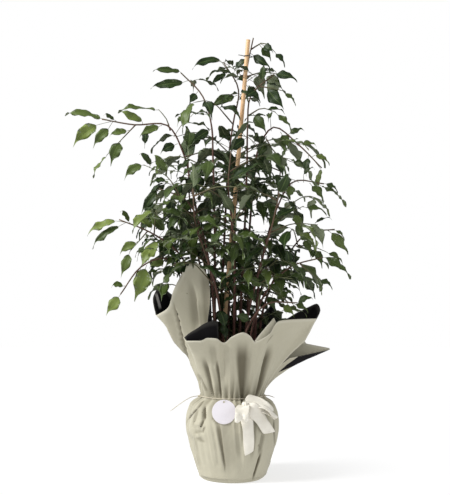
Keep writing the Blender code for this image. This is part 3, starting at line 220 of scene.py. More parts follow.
# Loops: width, lean of the ribbon to the side, up and out, and points
BOW_LOOPS = (
    (
        2.6, (0.0, 1.0, -0.8),
        (
            (2.9, 16.9, 1.55), (4.2, 17.4, 2.4), (6.1, 17.0, 2.7), (7.7, 15.9, 2.2), (8.4, 15.0, 1.6),
            (7.6, 15.2, 1.1), (5.7, 16.3, 1.0), (4.0, 16.9, 1.2),
        ),
    ),
    (
        2.4, (1.0, 0.0, 0.0),
        (
            (2.25, 16.75, 1.6), (2.1, 16.5, 2.4), (1.98, 15.6, 2.9), (1.95, 14.6, 2.8), (1.95, 13.9, 2.1),
            (1.95, 14.1, 1.4), (2.05, 14.8, 1.25), (2.15, 15.7, 1.35),
        ),
    ),
)

# Tails: width, slant of the cut end, and points
BOW_TAILS = (
    (
        3.5, -0.95,
        (
            (2.85, 16.75, 1.6), (3.4, 16.3, 1.3), (4.3, 15.7, 0.9), (5.5, 14.4, 0.6), (6.7, 12.4, 0.4),
            (7.8, 10.6, 0.3),
        ),
    ),
    (
        3.0, 0.3,
        (
            (2.3, 16.65, 1.15), (2.5, 16.05, 0.75), (2.8, 15.4, 0.35), (3.1, 13.2, 0.2), (3.3, 11.6, 0.2),
            (3.5, 6.7, 0.25),
        ),
    ),
)

# Ribbon: places across it, thickness, curl, cup, and how its loops and tails are shaped
RIBBON_COLUMNS = (-1.0, -0.85, -0.6, -0.3, 0.0, 0.3, 0.6, 0.85, 1.0)
RIBBON_FINE = 0.05
RIBBON_CURL = 0.16
RIBBON_CUP = 0.16
LOOP_FULL = 1.25
LOOP_LOBE = 0.16
TAIL_TAPER = 0.3
TAIL_CUT_ROWS = 7

# Outline of the plant: height, leftmost and rightmost place; then height and deepest place
LEAF_SEED = 100
SPREAD = (
    (30, -12, 12), (36, -18, 18), (44, -20, 21), (52, -22, 23), (60, -18, 23), (68, -18, 20), (74, -20, 15),
    (80, -13, 12), (87, -10, 11), (93, 0, 8), (95, 2, 6),
)
DEEPEST = ((30, 10), (45, 20), (60, 20), (75, 15), (90, 5), (96, 3))

# Stems: foot on the soil, path, twigs from their root on, leaves as base across and up, tip across and up,
# width and degrees turned from the viewer, and the number of side twigs grown by rule
STEMS = {
    "leafy_stem_crown": {
        "foot": (-1.0, 1.6),
        "path": (
            (-0.8, 32, 2.2), (-0.3, 50, 2.8), (1.2, 66, 2.6), (2.6, 80, 1.9), (3.4, 89, 1.3),
            (4.6, 94.4, 0.6),
        ),
        "twigs": (((4.0, 92, 1), (6.6, 93.4, 0.2), (9.2, 91.4, -0.6)),),
        "leaves": (
            (3.6, 94.7, -0.2, 94.2, 2.0, 35), (5.1, 95.2, 8.9, 91.7, 2.2, 10),
            (9.0, 91.6, 11.4, 88.7, 1.7, 40), (4.2, 91.4, 8.4, 88.2, 2.1, 10),
            (3.0, 90.6, 0.4, 87.4, 2.0, 20), (2.6, 84.0, 6.2, 81.0, 2.2, 10),
        ),
        "sprays": 3,
    },
    "leafy_stem_top_left": {
        "foot": (-3.4, 2.9),
        "path": (
            (-2.6, 32, 3.8), (-1.6, 52, 4.4), (-0.6, 70, 4.2), (1.4, 83.5, 2.8), (0.0, 87, 1.9),
            (-1.9, 89.2, 1.4),
        ),
        "twigs": (),
        "leaves": (
            (-2.6, 89.6, -8.6, 88.2, 2.2, 30), (-1.2, 87.6, -4.6, 84.4, 1.6, 20),
            (0.9, 82.0, -4.6, 79.6, 2.6, 20), (1.2, 85.4, 4.4, 86.2, 1.6, 30),
        ),
        "sprays": 3,
    },
    "leafy_stem_upper_left": {
        "foot": (-4.7, -1.6),
        "path": (
            (-3.8, 32, -2.0), (-3.7, 50, -3.0), (-4.0, 66, -3.6), (-4.7, 78.5, -3.9), (-6.4, 82, -3.8),
            (-8.6, 83.8, -3.5), (-11.0, 86.9, -3.2),
        ),
        "twigs": (),
        "leaves": (
            (-11.3, 87.2, -17.1, 87.8, 1.9, 35), (-10.6, 84.8, -17.6, 84.1, 2.4, 20),
            (-7.0, 83.6, -9.2, 80.4, 2.0, 10), (-5.4, 77.9, -12.3, 78.0, 1.6, 70),
            (-4.4, 74.5, -8.6, 72.0, 2.4, 10),
        ),
        "sprays": 3,
    },
    "leafy_stem_left_arm": {
        "foot": (-5.7, 1.0),
        "path": (
            (-5.0, 32, 1.3), (-6.2, 48, 1.0), (-8.2, 60, 0.4), (-10.6, 70, -0.6), (-13.6, 75.4, -1.6),
            (-19.0, 75.6, -2.4), (-25.0, 76.0, -3.0), (-28.0, 76.9, -3.4),
        ),
        "twigs": (
            ((-20.5, 75.5, -2.6), (-23.4, 72.9, -3.4), (-26.9, 69.2, -4.0)),
            ((-12.6, 74.6, -1.3), (-14.4, 77.6, -1.2), (-15.8, 79, -1.2)),
        ),
        "leaves": (
            (-28.3, 77.1, -36.0, 78.3, 2.3, 45), (-29.2, 75.6, -34.2, 71.5, 3.2, 5),
            (-26.6, 74.8, -29.9, 71.2, 2.5, 10), (-22.4, 75.0, -26.4, 73.7, 2.0, 30),
            (-24.3, 77.3, -27.6, 78.3, 1.3, 40), (-19.4, 76.5, -24.2, 79.0, 2.1, 20),
            (-16.2, 79.1, -24.6, 78.9, 1.8, 65), (-15.4, 75.0, -20.0, 73.4, 2.2, 20),
            (-23.6, 72.3, -26.1, 67.4, 3.0, 5), (-27.0, 69.0, -29.9, 64.9, 1.9, 70),
            (-11.4, 72.0, -15.4, 70.0, 2.4, 15), (-18.0, 75.4, -18.8, 71.2, 2.0, 30),
        ),
        "sprays": 2,
    },
    "leafy_stem_left_high": {
        "foot": (-2.6, -4.4),
        "path": (
            (-3.7, 32, -5.8), (-4.9, 46, -6.6), (-7.5, 56, -7.6), (-10.6, 60.2, -8.4), (-13.9, 62.3, -9.2),
            (-15.7, 61.9, -9.6),
        ),
        "twigs": (((-10.6, 60.4, -8.4), (-14.6, 65.2, -8.8), (-19.0, 67.1, -9.0)),),
        "leaves": (
            (-16.2, 61.4, -19.6, 57.0, 2.4, 10), (-9.0, 62.6, -10.9, 58.9, 2.9, 5),
            (-19.5, 67.0, -23.2, 64.4, 2.4, 20), (-17.4, 67.2, -19.9, 70.0, 1.8, 30),
            (-14.0, 65.8, -16.8, 69.8, 2.2, 10), (-13.4, 64.0, -17.0, 63.4, 1.8, 40),
            (-12.4, 60.8, -13.4, 56.4, 2.4, 20), (-6.4, 54.0, -10.0, 50.4, 2.6, 10),
        ),
        "sprays": 3,
    },
    "leafy_stem_left_middle": {
        "foot": (-4.9, -3.4),
        "path": (
            (-5.0, 31, -4.2), (-7.5, 40, -5.4), (-11.0, 47.5, -6.4), (-15.9, 51.8, -7.2),
            (-20.0, 53.2, -7.6), (-24.3, 55.3, -8.0),
        ),
        "twigs": (((-18.0, 52.6, -7.4), (-20.6, 50.0, -8.2), (-22.0, 48.4, -8.6)),),
        "leaves": (
            (-25.2, 55.0, -31.2, 52.4, 2.3, 35), (-24.4, 53.8, -30.1, 49.6, 2.0, 30),
            (-14.6, 53.0, -18.3, 57.4, 2.6, 10), (-17.2, 53.6, -20.6, 56.6, 2.0, 20),
            (-20.8, 51.4, -24.2, 48.2, 2.2, 15), (-22.2, 48.0, -23.9, 43.4, 2.4, 10),
            (-13.4, 50.8, -15.4, 47.6, 2.4, 10), (-21.4, 54.4, -24.0, 57.6, 1.6, 40),
            (-9.6, 45.4, -12.6, 42.4, 2.6, 10),
        ),
        "sprays": 2,
    },
    "leafy_stem_left_low": {
        "foot": (-5.8, -0.9),
        "path": (
            (-5.6, 31, -1.2), (-8.0, 38.5, -3.2), (-11.5, 44.5, -5.2), (-15.0, 47.6, -6.8),
            (-18.4, 46.6, -8.2), (-21.2, 42.4, -9.0), (-24.0, 39.2, -9.4),
        ),
        "twigs": (),
        "leaves": (
            (-18.4, 45.7, -21.0, 38.3, 4.2, 0), (-24.4, 38.6, -27.1, 35.3, 2.8, 10),
            (-21.0, 40.6, -19.2, 31.2, 2.1, 60), (-14.6, 48.8, -17.8, 45.4, 2.4, 10),
            (-12.6, 46.4, -14.0, 42.2, 2.6, 10), (-22.6, 41.0, -26.0, 41.2, 1.9, 40),
            (-9.8, 43.0, -8.6, 38.6, 2.4, 20),
        ),
        "sprays": 1,
    },
    "leafy_stem_top_right": {
        "foot": (1.4, -0.8),
        "path": (
            (1.7, 32, -1.2), (2.6, 50, -1.8), (3.2, 66, -2.6), (3.4, 76, -3.0), (4.1, 82.0, -3.0),
            (6.3, 84.9, -3.2), (9.1, 86.6, -3.4),
        ),
        "twigs": (
            ((5.6, 84.0, -3.1), (8.4, 83.6, -3.6), (11.0, 83.0, -4.0)),
            ((3.5, 78, -3), (7.0, 79.4, -4), (9.4, 78.4, -4.4)),
        ),
        "leaves": (
            (9.4, 86.5, 14.1, 85.5, 2.1, 25), (7.4, 84.2, 11.2, 79.6, 3.2, 0),
            (11.2, 82.9, 13.7, 80.4, 1.7, 55), (9.6, 78.2, 13.0, 74.6, 1.8, 50),
            (7.0, 79.8, 11.4, 78.6, 1.6, 65), (5.4, 83.6, 2.8, 81.6, 2.0, 20),
            (6.4, 85.4, 6.9, 89.0, 1.8, 20), (4.6, 77.8, 7.4, 74.4, 2.6, 5),
            (2.6, 73.0, -1.0, 70.0, 2.6, 10),
        ),
        "sprays": 3,
    },
    "leafy_stem_right_arm": {
        "foot": (3.4, 1.8),
        "path": (
            (3.4, 32, 2.4), (3.6, 50, 2.2), (4.8, 64, 1.2), (6.2, 73, 0.2), (8.9, 75.2, -0.8),
            (11.8, 73.9, -1.8), (14.2, 71.5, -2.4), (17.4, 69.2, -3.0), (19.3, 66.4, -3.4),
        ),
        "twigs": (((6.4, 73.4, 0), (9.4, 69.6, -2.0), (12.6, 67.8, -3.2)),),
        "leaves": (
            (19.2, 66.0, 18.4, 62.0, 1.8, 40), (18.0, 69.2, 21.0, 67.6, 1.7, 45),
            (16.6, 69.4, 16.0, 65.2, 2.0, 20), (14.6, 71.8, 18.2, 71.6, 1.7, 50),
            (12.4, 73.8, 15.6, 75.0, 1.7, 40), (10.4, 74.4, 12.2, 70.8, 2.2, 15),
            (12.9, 67.6, 16.4, 66.2, 2.0, 40), (10.0, 69.0, 11.0, 64.8, 2.4, 10),
            (7.2, 72.4, 5.6, 68.6, 2.4, 10),
        ),
        "sprays": 2,
    },
    "leafy_stem_right_middle": {
        "foot": (4.6, -2.6),
        "path": (
            (5.0, 32, -3.2), (6.4, 46, -4.6), (9.0, 56, -5.4), (11.8, 61.6, -6.0), (14.4, 64.5, -6.4),
            (17.2, 64.3, -6.6), (19.8, 63.0, -6.8),
        ),
        "twigs": (((8.0, 53, -5.2), (12.2, 57.0, -7.0), (15.4, 58.2, -7.8)),),
        "leaves": (
            (20.2, 63.0, 22.8, 61.6, 1.5, 45), (19.3, 62.5, 24.6, 58.7, 2.0, 55),
            (16.4, 63.6, 19.7, 59.4, 2.2, 35), (15.8, 58.0, 20.4, 56.8, 1.8, 55),
            (13.2, 57.0, 14.6, 53.0, 2.2, 20), (13.2, 63.8, 12.2, 60.0, 2.2, 15),
            (15.4, 65.0, 17.8, 66.8, 1.4, 50), (9.8, 57.0, 8.4, 52.6, 2.6, 5),
            (11.4, 61.6, 9.0, 65.0, 2.2, 15),
        ),
        "sprays": 2,
    },
    "leafy_stem_right_outer": {
        "foot": (5.5, 1.0),
        "path": (
            (6.0, 32, 1.4), (8.8, 42, 0.8), (13.0, 49, -0.6), (17.0, 53.0, -1.8), (20.4, 54.3, -2.4),
            (22.1, 53.2, -2.8),
        ),
        "twigs": (((13.4, 49.6, -0.8), (17.2, 49.6, -2.6), (20.2, 48.4, -3.4)),),
        "leaves": (
            (22.4, 53.0, 24.2, 51.4, 1.2, 50), (21.4, 52.4, 25.0, 48.4, 2.6, 20),
            (17.9, 54.6, 21.6, 55.8, 1.2, 65), (20.5, 48.2, 23.8, 46.4, 1.7, 50),
            (17.8, 49.0, 19.4, 45.4, 2.0, 25), (14.6, 51.2, 13.6, 54.4, 2.2, 20),
            (15.4, 51.4, 17.0, 47.8, 2.0, 30), (10.6, 45.6, 12.6, 42.0, 2.4, 15),
        ),
        "sprays": 2,
    },
    "leafy_stem_right_low": {
        "foot": (2.8, -4.6),
        "path": (
            (4.2, 31, -5.6), (6.8, 38.5, -7.4), (10.0, 43.5, -8.8), (13.8, 45.6, -9.8), (19.6, 47.2, -10.4),
        ),
        "twigs": (((14.6, 45.9, -9.9), (17.2, 43.6, -10.6), (18.4, 42.6, -11)),),
        "leaves": (
            (20.0, 47.2, 25.6, 43.2, 2.4, 40), (18.6, 42.5, 21.6, 40.8, 1.9, 50),
            (16.6, 46.6, 18.2, 49.6, 1.6, 45), (12.6, 45.2, 11.6, 49.2, 2.2, 15),
            (11.2, 43.8, 14.4, 41.6, 1.8, 40), (15.0, 45.4, 14.6, 41.8, 2.0, 20),
            (8.0, 40.6, 5.4, 44.0, 2.4, 10), (7.6, 39.2, 9.4, 35.8, 2.0, 15),
        ),
        "sprays": 1,
    },
    "leafy_stem_front_low": {
        "foot": (0.8, -5.4),
        "path": (
            (2.4, 28, -6.8), (4.6, 34.5, -8.4), (8.0, 37.4, -10.2), (11.4, 37.6, -11.6),
            (14.0, 37.4, -12.4),
        ),
        "twigs": (((5.2, 35.4, -8.8), (6.2, 40.0, -9.6), (8.1, 42.6, -10.2)),),
        "leaves": (
            (14.2, 37.5, 17.6, 38.6, 1.8, 35), (13.2, 37.2, 16.4, 35.8, 1.8, 40),
            (10.6, 37.0, 13.4, 34.9, 1.9, 25), (9.6, 38.2, 13.4, 40.0, 1.8, 40),
            (8.4, 42.8, 11.6, 43.4, 1.6, 40), (8.0, 41.6, 10.6, 39.4, 1.9, 20),
            (6.4, 41.0, 3.0, 43.0, 2.2, 15), (3.8, 33.6, 0.8, 34.8, 2.2, 10),
        ),
        "sprays": 0,
    },
    "leafy_stem_front_left": {
        "foot": (-1.9, -2.4),
        "path": (
            (-2.1, 31, -4.0), (-3.8, 42, -8.4), (-6.4, 50, -12.0), (-8.2, 56, -13.8), (-8.4, 62, -14.6),
        ),
        "twigs": (), "leaves": ((-2.4, 33.4, -1.4, 29.2, 2.0, 15),), "sprays": 4,
    },
    "leafy_stem_front_right": {
        "foot": (2.3, -2.4),
        "path": ((2.9, 31, -3.8), (5.2, 42, -8.4), (7.4, 50, -12.2), (9.2, 56, -14.4), (10.2, 61, -15.4)),
        "twigs": (), "leaves": (), "sprays": 4,
    },
    "leafy_stem_front_middle": {
        "foot": (0.3, -3.3),
        "path": ((0.4, 31, -4.6), (0.6, 43, -8.0), (0.0, 54, -11.0), (-0.8, 63, -12.4), (-0.2, 70, -12.4)),
        "twigs": (), "leaves": (), "sprays": 5,
    },
    "leafy_stem_back_left": {
        "foot": (-2.4, 5.4),
        "path": ((-4.2, 32, 7.6), (-7.0, 46, 10.6), (-9.0, 58, 12.6), (-9.4, 68, 13.0)), "twigs": (),
        "leaves": (), "sprays": 4,
    },
    "leafy_stem_back_middle": {
        "foot": (0.8, 4.0), "path": ((0.8, 32, 5.4), (0.6, 50, 7.4), (1.0, 64, 8.4), (1.4, 75, 8.0)),
        "twigs": (), "leaves": (), "sprays": 4,
    },
    "leafy_stem_back_right": {
        "foot": (3.2, 5.0), "path": ((4.6, 32, 7.6), (7.6, 46, 10.8), (9.6, 58, 12.8), (10.6, 68, 13.4)),
        "twigs": (), "leaves": (), "sprays": 4,
    },
}

# Leaves of single stems that only the looks have, in the rows of the table above
LEAVES_MORE = {
    "leafy_stem_crown": ((5.4, 93.8, 8.4, 90.0, 2.4, 25),),
    "leafy_stem_front_left": ((-2.5, 36.7, -1.5, 31.6, 2.6, 5),),
}

# Fine leaf: outline as share of the length and of the half width, places across, and how it is bent
LEAF_OUTLINE = (
    (0.03, 0.24), (0.09, 0.52), (0.16, 0.78), (0.25, 0.94), (0.34, 1.0), (0.43, 0.98), (0.52, 0.90),
    (0.61, 0.77), (0.70, 0.58), (0.78, 0.37), (0.85, 0.20), (0.92, 0.10), (0.97, 0.055),
)
LEAF_COLUMNS = (-1.0, -0.66, -0.3, 0.0, 0.3, 0.66, 1.0)
LEAF_WAVE = 0.35
LEAF_FLUTTERS = 19.0
LEAF_FLUTTER = 0.05
LEAF_SCALLOP = 0.09
LEAF_NARROW = 0.88
LEAF_WAVY = 1.6
LEAF_SWAY = 0.06
LEAF_ROLL = 0.035
LEAF_ROLLS = 1.6
LEAF_DRIP = 0.75
LEAF_DRIP_FROM = 0.8
LEAF_GROOVE = 0.02
# Reach from the plant's axis, in metres, within which leaves are painted darker as shade inside the plant
LEAF_SHADE_REACH = 0.24
LEAF_THICK = 0.02
LEAF_KEEL = 0.05
STALK_RADIUS = 0.06
VEINS = 75.0
VEIN_SLANT = 0.16

# Finer twigs and leaves that fill the plant, the low ones behind; PAPER_CLEAR is their room to the paper
FILL_SEED = 300
FILL_RADIUS = 0.07
FILL_TWIGS = 6
LOW_FILL_TWIGS = 9
LOW_FILL = (0.08, 0.4)
HIGH_FILL = (0.42, 0.97)
FILL_TRIES = 9
FILL_SHORTER = 0.93
FILL_LEAF_SHORTER = 0.95
FILL_STEP = 2.5
FILL_REACH = (5.0, 11.0)
LOW_FILL_REACH = (3.0, 7.0)
FILL_LEAVES = (0.3, 0.5, 0.7, 0.86, 1.0)
FILL_OUTER_LEAVES = (0.45, 0.75, 1.0)
FILL_LENGTH = (4.6, 7.0)
FILL_WIDTH = (0.26, 0.38)
FILL_DROOP = (0.05, 0.6)
FILL_INNER = 10.0
FILL_INNER_TOP = 68.0
LOW_FILL_DEPTH = 1.0
FILL_RIGHT = 11.0
PAPER_CLEAR = 0.55

# Paper: its real thickness, the gathers at the tied neck, and the steps of its columns
PAPER_THIN = 0.04
GATHERS = 26
GATHER_DEEP = 0.36
GATHER_REACH = 2.4
PLEAT_SHARE = 0.6
BODY_STEPS = 44
COLLAR_FINE = 34
FRONT_CORNERS = (68,)
BACK_CORNERS = (-276, -268, -222, -118, -96)

# Turns of the back sheet between which its right flap is turned over, so that its sage face is seen
TURNED_OVER = (-283, -266)

# The front sheet stands off at its two side edges
SIDE_LIFT = 0.12
SIDE_LIFT_TURN = 5.0

# Degrees between the columns of each sheet, and the front sheet's rows left out at its foot
BACK_STEP = 1.5
FRONT_STEP = 1.0
FRONT_FOOT_ROWS = 2

# Fine crumples of the paper: how many to a metre, and how deep
CRUMPLES = ((38.0, 0.11), (95.0, 0.05))

# Folds seen on the front: each end across and up, half width at each end, depth and shade
BACK_FOLDS = (
    ((-12.6, 36.8), (-9.0, 22.8), 0.35, 0.4, 0.5, 0.85), ((-13.9, 35.4), (-10.0, 23.0), 1.4, 0.8, 0.0, 0.3),
    ((-14.4, 30.0), (-10.2, 19.5), 3.5, 2.6, -2.4, 0.0), ((-5.9, 44.0), (-5.2, 31.0), 1.4, 0.9, 0.25, 0.5),
    ((-9.0, 41.0), (-7.6, 32.4), 1.0, 1.5, 0.4, 0.42), ((-7.3, 38.0), (-6.8, 32.0), 0.5, 0.5, -0.35, 0.0),
)
FRONT_FOLDS = (
    ((-7.4, 21.9), (-5.4, 18.2), 0.5, 0.35, 0.25, 0.6), ((-4.4, 28.0), (-3.6, 24.0), 1.2, 0.8, 0.2, 0.25),
    ((-5.9, 24.6), (-3.9, 16.4), 0.7, 0.35, 0.45, 0.8), ((-4.5, 24.0), (-3.3, 18.6), 0.5, 0.4, -0.25, 0.0),
    ((-3.3, 24.6), (-2.3, 16.4), 0.5, 0.3, 0.35, 0.85), ((-1.0, 27.4), (-0.6, 18.6), 1.3, 0.8, -0.3, 0.0),
    ((2.25, 27.6), (2.3, 15.2), 2.1, 0.3, 0.75, 0.85), ((4.8, 28.4), (3.6, 18.4), 0.9, 0.6, -0.4, 0.0),
    ((7.9, 27.0), (5.3, 16.8), 0.8, 0.35, 0.5, 0.9), ((9.4, 27.4), (6.4, 19.0), 0.9, 0.5, -0.3, 0.0),
)
BODY_FOLDS = (
    ((-6.1, 14.9), (-6.05, 12.3), 0.42, 0.55, 0.6, 1.0), ((-6.2, 12.3), (-6.6, 10.7), 0.35, 0.25, 0.3, 0.9),
    ((-6.3, 16.3), (-7.6, 14.6), 0.22, 0.26, 0.25, 0.75),
    ((-7.6, 14.6), (-9.7, 12.2), 0.26, 0.26, 0.3, 0.9),
    ((-9.7, 12.2), (-10.0, 11.0), 0.26, 0.24, 0.25, 0.8),
    ((-7.5, 14.4), (-8.4, 11.0), 0.45, 0.45, 0.25, 0.4), ((-8.2, 11.5), (-6.5, 11.0), 0.5, 0.5, -0.35, 0.0),
    ((-8.0, 9.5), (-6.3, 9.7), 0.5, 0.4, 0.2, 0.35), ((-6.3, 9.5), (-5.9, 10.7), 0.35, 0.3, 0.2, 0.5),
    ((-7.9, 8.7), (-6.0, 8.9), 0.3, 0.4, -0.25, 0.0), ((-7.6, 8.2), (-6.0, 7.5), 0.4, 0.45, 0.2, 0.4),
    ((-8.4, 8.4), (-7.4, 2.0), 0.9, 1.2, 0.2, 0.2), ((-4.3, 12.8), (-3.0, 11.2), 0.35, 0.5, 0.15, 0.7),
    ((-3.1, 11.4), (-1.5, 1.8), 0.75, 0.28, 0.35, 0.8), ((-1.2, 12.6), (-0.2, 2.0), 2.0, 2.6, 0.15, 0.22),
    ((-5.0, 11.4), (-3.6, 3.0), 0.8, 0.8, -0.28, 0.0), ((0.9, 12.4), (1.5, 4.2), 0.7, 0.7, 0.22, 0.3),
    ((3.3, 12.6), (2.8, 2.4), 0.9, 0.9, -0.3, 0.0), ((5.0, 11.6), (4.3, 4.6), 0.6, 0.6, 0.3, 0.45),
    ((6.8, 9.4), (5.9, 5.0), 0.6, 0.5, 0.26, 0.5), ((6.2, 4.9), (4.6, -0.2), 0.36, 0.3, 0.26, 1.0),
    ((5.7, 6.9), (6.4, 5.6), 0.28, 0.3, 0.18, 0.6), ((9.0, 12.0), (9.2, 7.0), 0.28, 0.24, 0.12, 0.75),
    ((-10.2, 8.6), (-9.4, 4.0), 2.2, 2.2, 0.8, 0.1), ((10.2, 6.4), (8.9, 3.0), 1.6, 1.6, 0.4, 0.1),
)
FOLD_FLAT = 1.6
FOLD_FADE = 0.2
FOLD_FADE_STEEP = 2.6

# Painted highlights on the creases of the black face, as pale streaks: each end across, up and depth, and
# half width
PAINTED_CREASE_HIGHLIGHTS = (
    ((-16.4, 39.6, 1.5), (-15.4, 35.8, -1.0), 0.35), ((12.6, 34.3, -10.0), (18.0, 36.0, -6.5), 0.3),
)

# The turns and the rows from the rim between which the front sheet's black face is painted pale
PALE_TURNS = (27, 44)
PALE_ROWS = 14

# The parts of the front sheet that are turned in at its rim: points of the upper and the lower edge
TURNED_FLAP = (
    ((-10.3, 29.9, -9.9), (-9.7, 29.3, -9.6)), ((-9.2, 30.9, -9.8), (-8.8, 27.6, -9.3)),
    ((-7.7, 31.8, -9.5), (-7.3, 26.8, -9.0)), ((-6.4, 32.7, -9.0), (-6.0, 26.2, -8.8)),
    ((-5.1, 33.3, -8.7), (-4.7, 26.0, -8.6)), ((-4.0, 33.5, -8.3), (-3.6, 26.0, -8.2)),
    ((-3.0, 33.4, -7.8), (-2.7, 26.0, -7.9)),
)
TURNED_EDGE = (
    ((4.9, 29.2, -9.7), (6.3, 27.6, -10.0)), ((5.7, 30.3, -9.5), (7.2, 28.4, -9.7)),
    ((6.7, 31.5, -9.3), (8.1, 29.4, -9.5)), ((7.7, 32.7, -9.1), (9.0, 30.6, -9.4)),
    ((8.5, 33.6, -8.9), (9.5, 31.8, -9.3)), ((9.0, 34.2, -8.7), (9.6, 33.0, -9.2)),
)
TURNED_STEPS = 12
TURNED_BULGE = 0.35
TURNED_SHADE = 0.35


def place(across, up, depth):
    """The point at a depth that is seen where across and up are in the plane through the pot's middle."""
    seen_at = Vector((across * CM, 0.0, up * CM))
    return EYE + (seen_at - EYE) * ((depth * CM - EYE.y) / -EYE.y)


def seen(point):
    """Across, up and depth, in centimetres, of a point."""
    flat = EYE + (point - EYE) / ((point.y - EYE.y) / -EYE.y)
    return flat.x / CM, flat.z / CM, point.y / CM


def between(table, at):
    """The values of a table of rows at a place in its first column, in straight lines from row to row."""
    rows = sorted(table)
    at = min(max(at, rows[0][0]), rows[-1][0])
    for low, high in zip(rows, rows[1:]):
        if at <= high[0]:
            share = (at - low[0]) / (high[0] - low[0])
            return [a + (b - a) * share for a, b in zip(low[1:], high[1:])]
    return list(rows[-1][1:])


def curve_point(a, b, c, d, t):
    """The point a share of the way from the second to the third of four points on a smooth curve."""
    bend = (a * 2 - b * 5 + c * 4 - d) * t**2 + (b * 3 - a - c * 3 + d) * t**3
    return (b * 2 + (c - a) * t + bend) / 2


def smooth_line(points, spacing):
    """Points at even steps along a smooth curve through the given ones."""
    ends = [points[0] * 2 - points[1], *points, points[-1] * 2 - points[-2]]
    dense = []
    for spots in zip(ends, ends[1:], ends[2:], ends[3:]):
        dense += [curve_point(*spots, step / CURVE_STEPS) for step in range(CURVE_STEPS)]
    dense.append(points[-1])
    total = sum((b - a).length for a, b in zip(dense, dense[1:]))
    count = max(2, round(total / (spacing * CM)))
    return [along(dense, step / count) for step in range(count + 1)]


def closed_curve(points, steps):
    """Points along a smooth closed curve through the given ones."""
    line = []
    for i in range(len(points)):
        spots = [points[(i + k) % len(points)] for k in (-1, 0, 1, 2)]
        line += [curve_point(*spots, step / steps) for step in range(steps)]
    return line


def along(line, share):
    """The point a share of the way along a line of points."""
    lengths = [(b - a).length for a, b in zip(line, line[1:])]
    left = share * sum(lengths)
    for a, b, length in zip(line, line[1:], lengths):
        if left <= length:
            return a.lerp(b, left / length)
        left -= length
    return line[-1].copy()


def heading(line, share):
    """The direction of a line of points a share of the way along it."""
    return (along(line, min(share + 0.03, 1.0)) - along(line, max(share - 0.03, 0.0))).normalized()


def loft(rings, closed_ends=True):
    """Vertices and faces through rings of as many points each."""
    verts = [point for ring in rings for point in ring]
    size = len(rings[0])
    faces = []
    for row in range(len(rings) - 1):
        for i in range(size):
            a, b = row * size + i, row * size + (i + 1) % size
            faces.append((a, b, b + size, a + size))
    if closed_ends:
        faces.append(tuple(reversed(range(size))))
        faces.append(tuple(range(len(verts) - size, len(verts))))
    return verts, faces


def round_turns(steps):
    """Even turns once round, in radians."""
    return [math.tau * step / steps for step in range(steps)]


def round_pot(turn, radius, height):
    """The point at a turn, a radius and a height round the pot's axis."""
    return Vector((radius * math.cos(turn), radius * math.sin(turn), height)) * CM


def circle_rings(points, radii, sides, round_trip=False):
    """Rings of points square to a line, turned as little as possible from one to the next."""
    rings = []
    across = None
    last = len(points) - 1
    turns = round_turns(sides)
    for i, (point, radius) in enumerate(zip(points, radii)):
        before = points[i - 1] if round_trip or i else point
        after = points[(i + 1) % len(points)] if round_trip or i < last else point
        ahead = (after - before).normalized()
        if across is None:
            across = ahead.orthogonal()
        across = (across - ahead * across.dot(ahead)).normalized()
        over = ahead.cross(across)
        rings.append([point + (across * math.cos(turn) + over * math.sin(turn)) * radius for turn in turns])
    return rings


def tube(points, first, last, sides):
    """Closed tube along a line, its radius going from first to last."""
    steps = len(points) - 1
    radii = [(first + (last - first) * i / steps) * CM for i in range(steps + 1)]
    return loft(circle_rings(points, radii, sides))


def hoop(points, radius, sides):
    """Closed tube along a line that comes back to its start."""
    rings = circle_rings(points, [radius * CM] * len(points), sides, round_trip=True)
    return loft([*rings, rings[0]], closed_ends=False)


def leaf_frame(ahead, side, normal):
    """Side and upward directions of a leaf's section square to a direction."""
    flat_side = side - ahead * side.dot(ahead)
    flat_normal = normal - ahead * normal.dot(ahead)
    if flat_side.length > flat_normal.length:
        flat_side.normalize()
        return flat_side, flat_side.cross(ahead)
    flat_normal.normalize()
    return ahead.cross(flat_normal), flat_normal


def leaf_axes(leaf):
    """Directions along a blade, out of its upper face and to its side, and its length."""
    _, base, tip, facing, _ = leaf
    axis = (tip - base).normalized()
    normal = (facing - axis * facing.dot(axis)).normalized()
    return axis, normal, axis.cross(normal), (tip - base).length


def blade(leaf, margin=0.0):
    """Petiole and blade of a leaf with a keel under its midrib, arched and waved, coming to a drip tip."""
    root, base, tip, _, width = leaf
    axis, normal, side, length = leaf_axes(leaf)
    stalk = (PETIOLE / 2 + margin) * CM
    keel = (BLADE_THICK + margin) * CM
    half = (width / 2 + margin) * CM
    stem = (base - root).normalized()
    start = root.lerp(base, 0.3) if margin else root
    verts = []
    for point, ahead in ((start, stem), (base, (stem + axis * 1.2).normalized())):
        across, over = leaf_frame(ahead, side, normal)
        top = point + over * stalk / 2
        verts += [top - across * stalk, top + across * stalk, point - over * stalk]
    for share, spread, wave in BLADE_ROWS:
        middle = base + axis * (length * share) + normal * (length * BLADE_ARCH * 4 * share * (1 - share))
        out = side * half * spread
        lift = normal * (half * spread * BLADE_FOLD)
        ripple = normal * (length * BLADE_WAVE * wave)
        verts += [middle - out + lift + ripple, middle + out + lift - ripple, middle - normal * keel]
    verts.append(tip + axis * (margin * CM))
    last = len(verts) - 1
    faces = [(0, 1, 2)]
    for row in range(0, last - 3, 3):
        left, right, under = row, row + 1, row + 2
        for edge, other in ((left, right), (right, under), (left, under)):
            faces += [(edge, other, other + 3), (edge, other + 3, edge + 3)]
    faces += [(last - 3, last - 2, last), (last - 2, last - 1, last), (last - 1, last - 3, last)]
    return verts, faces


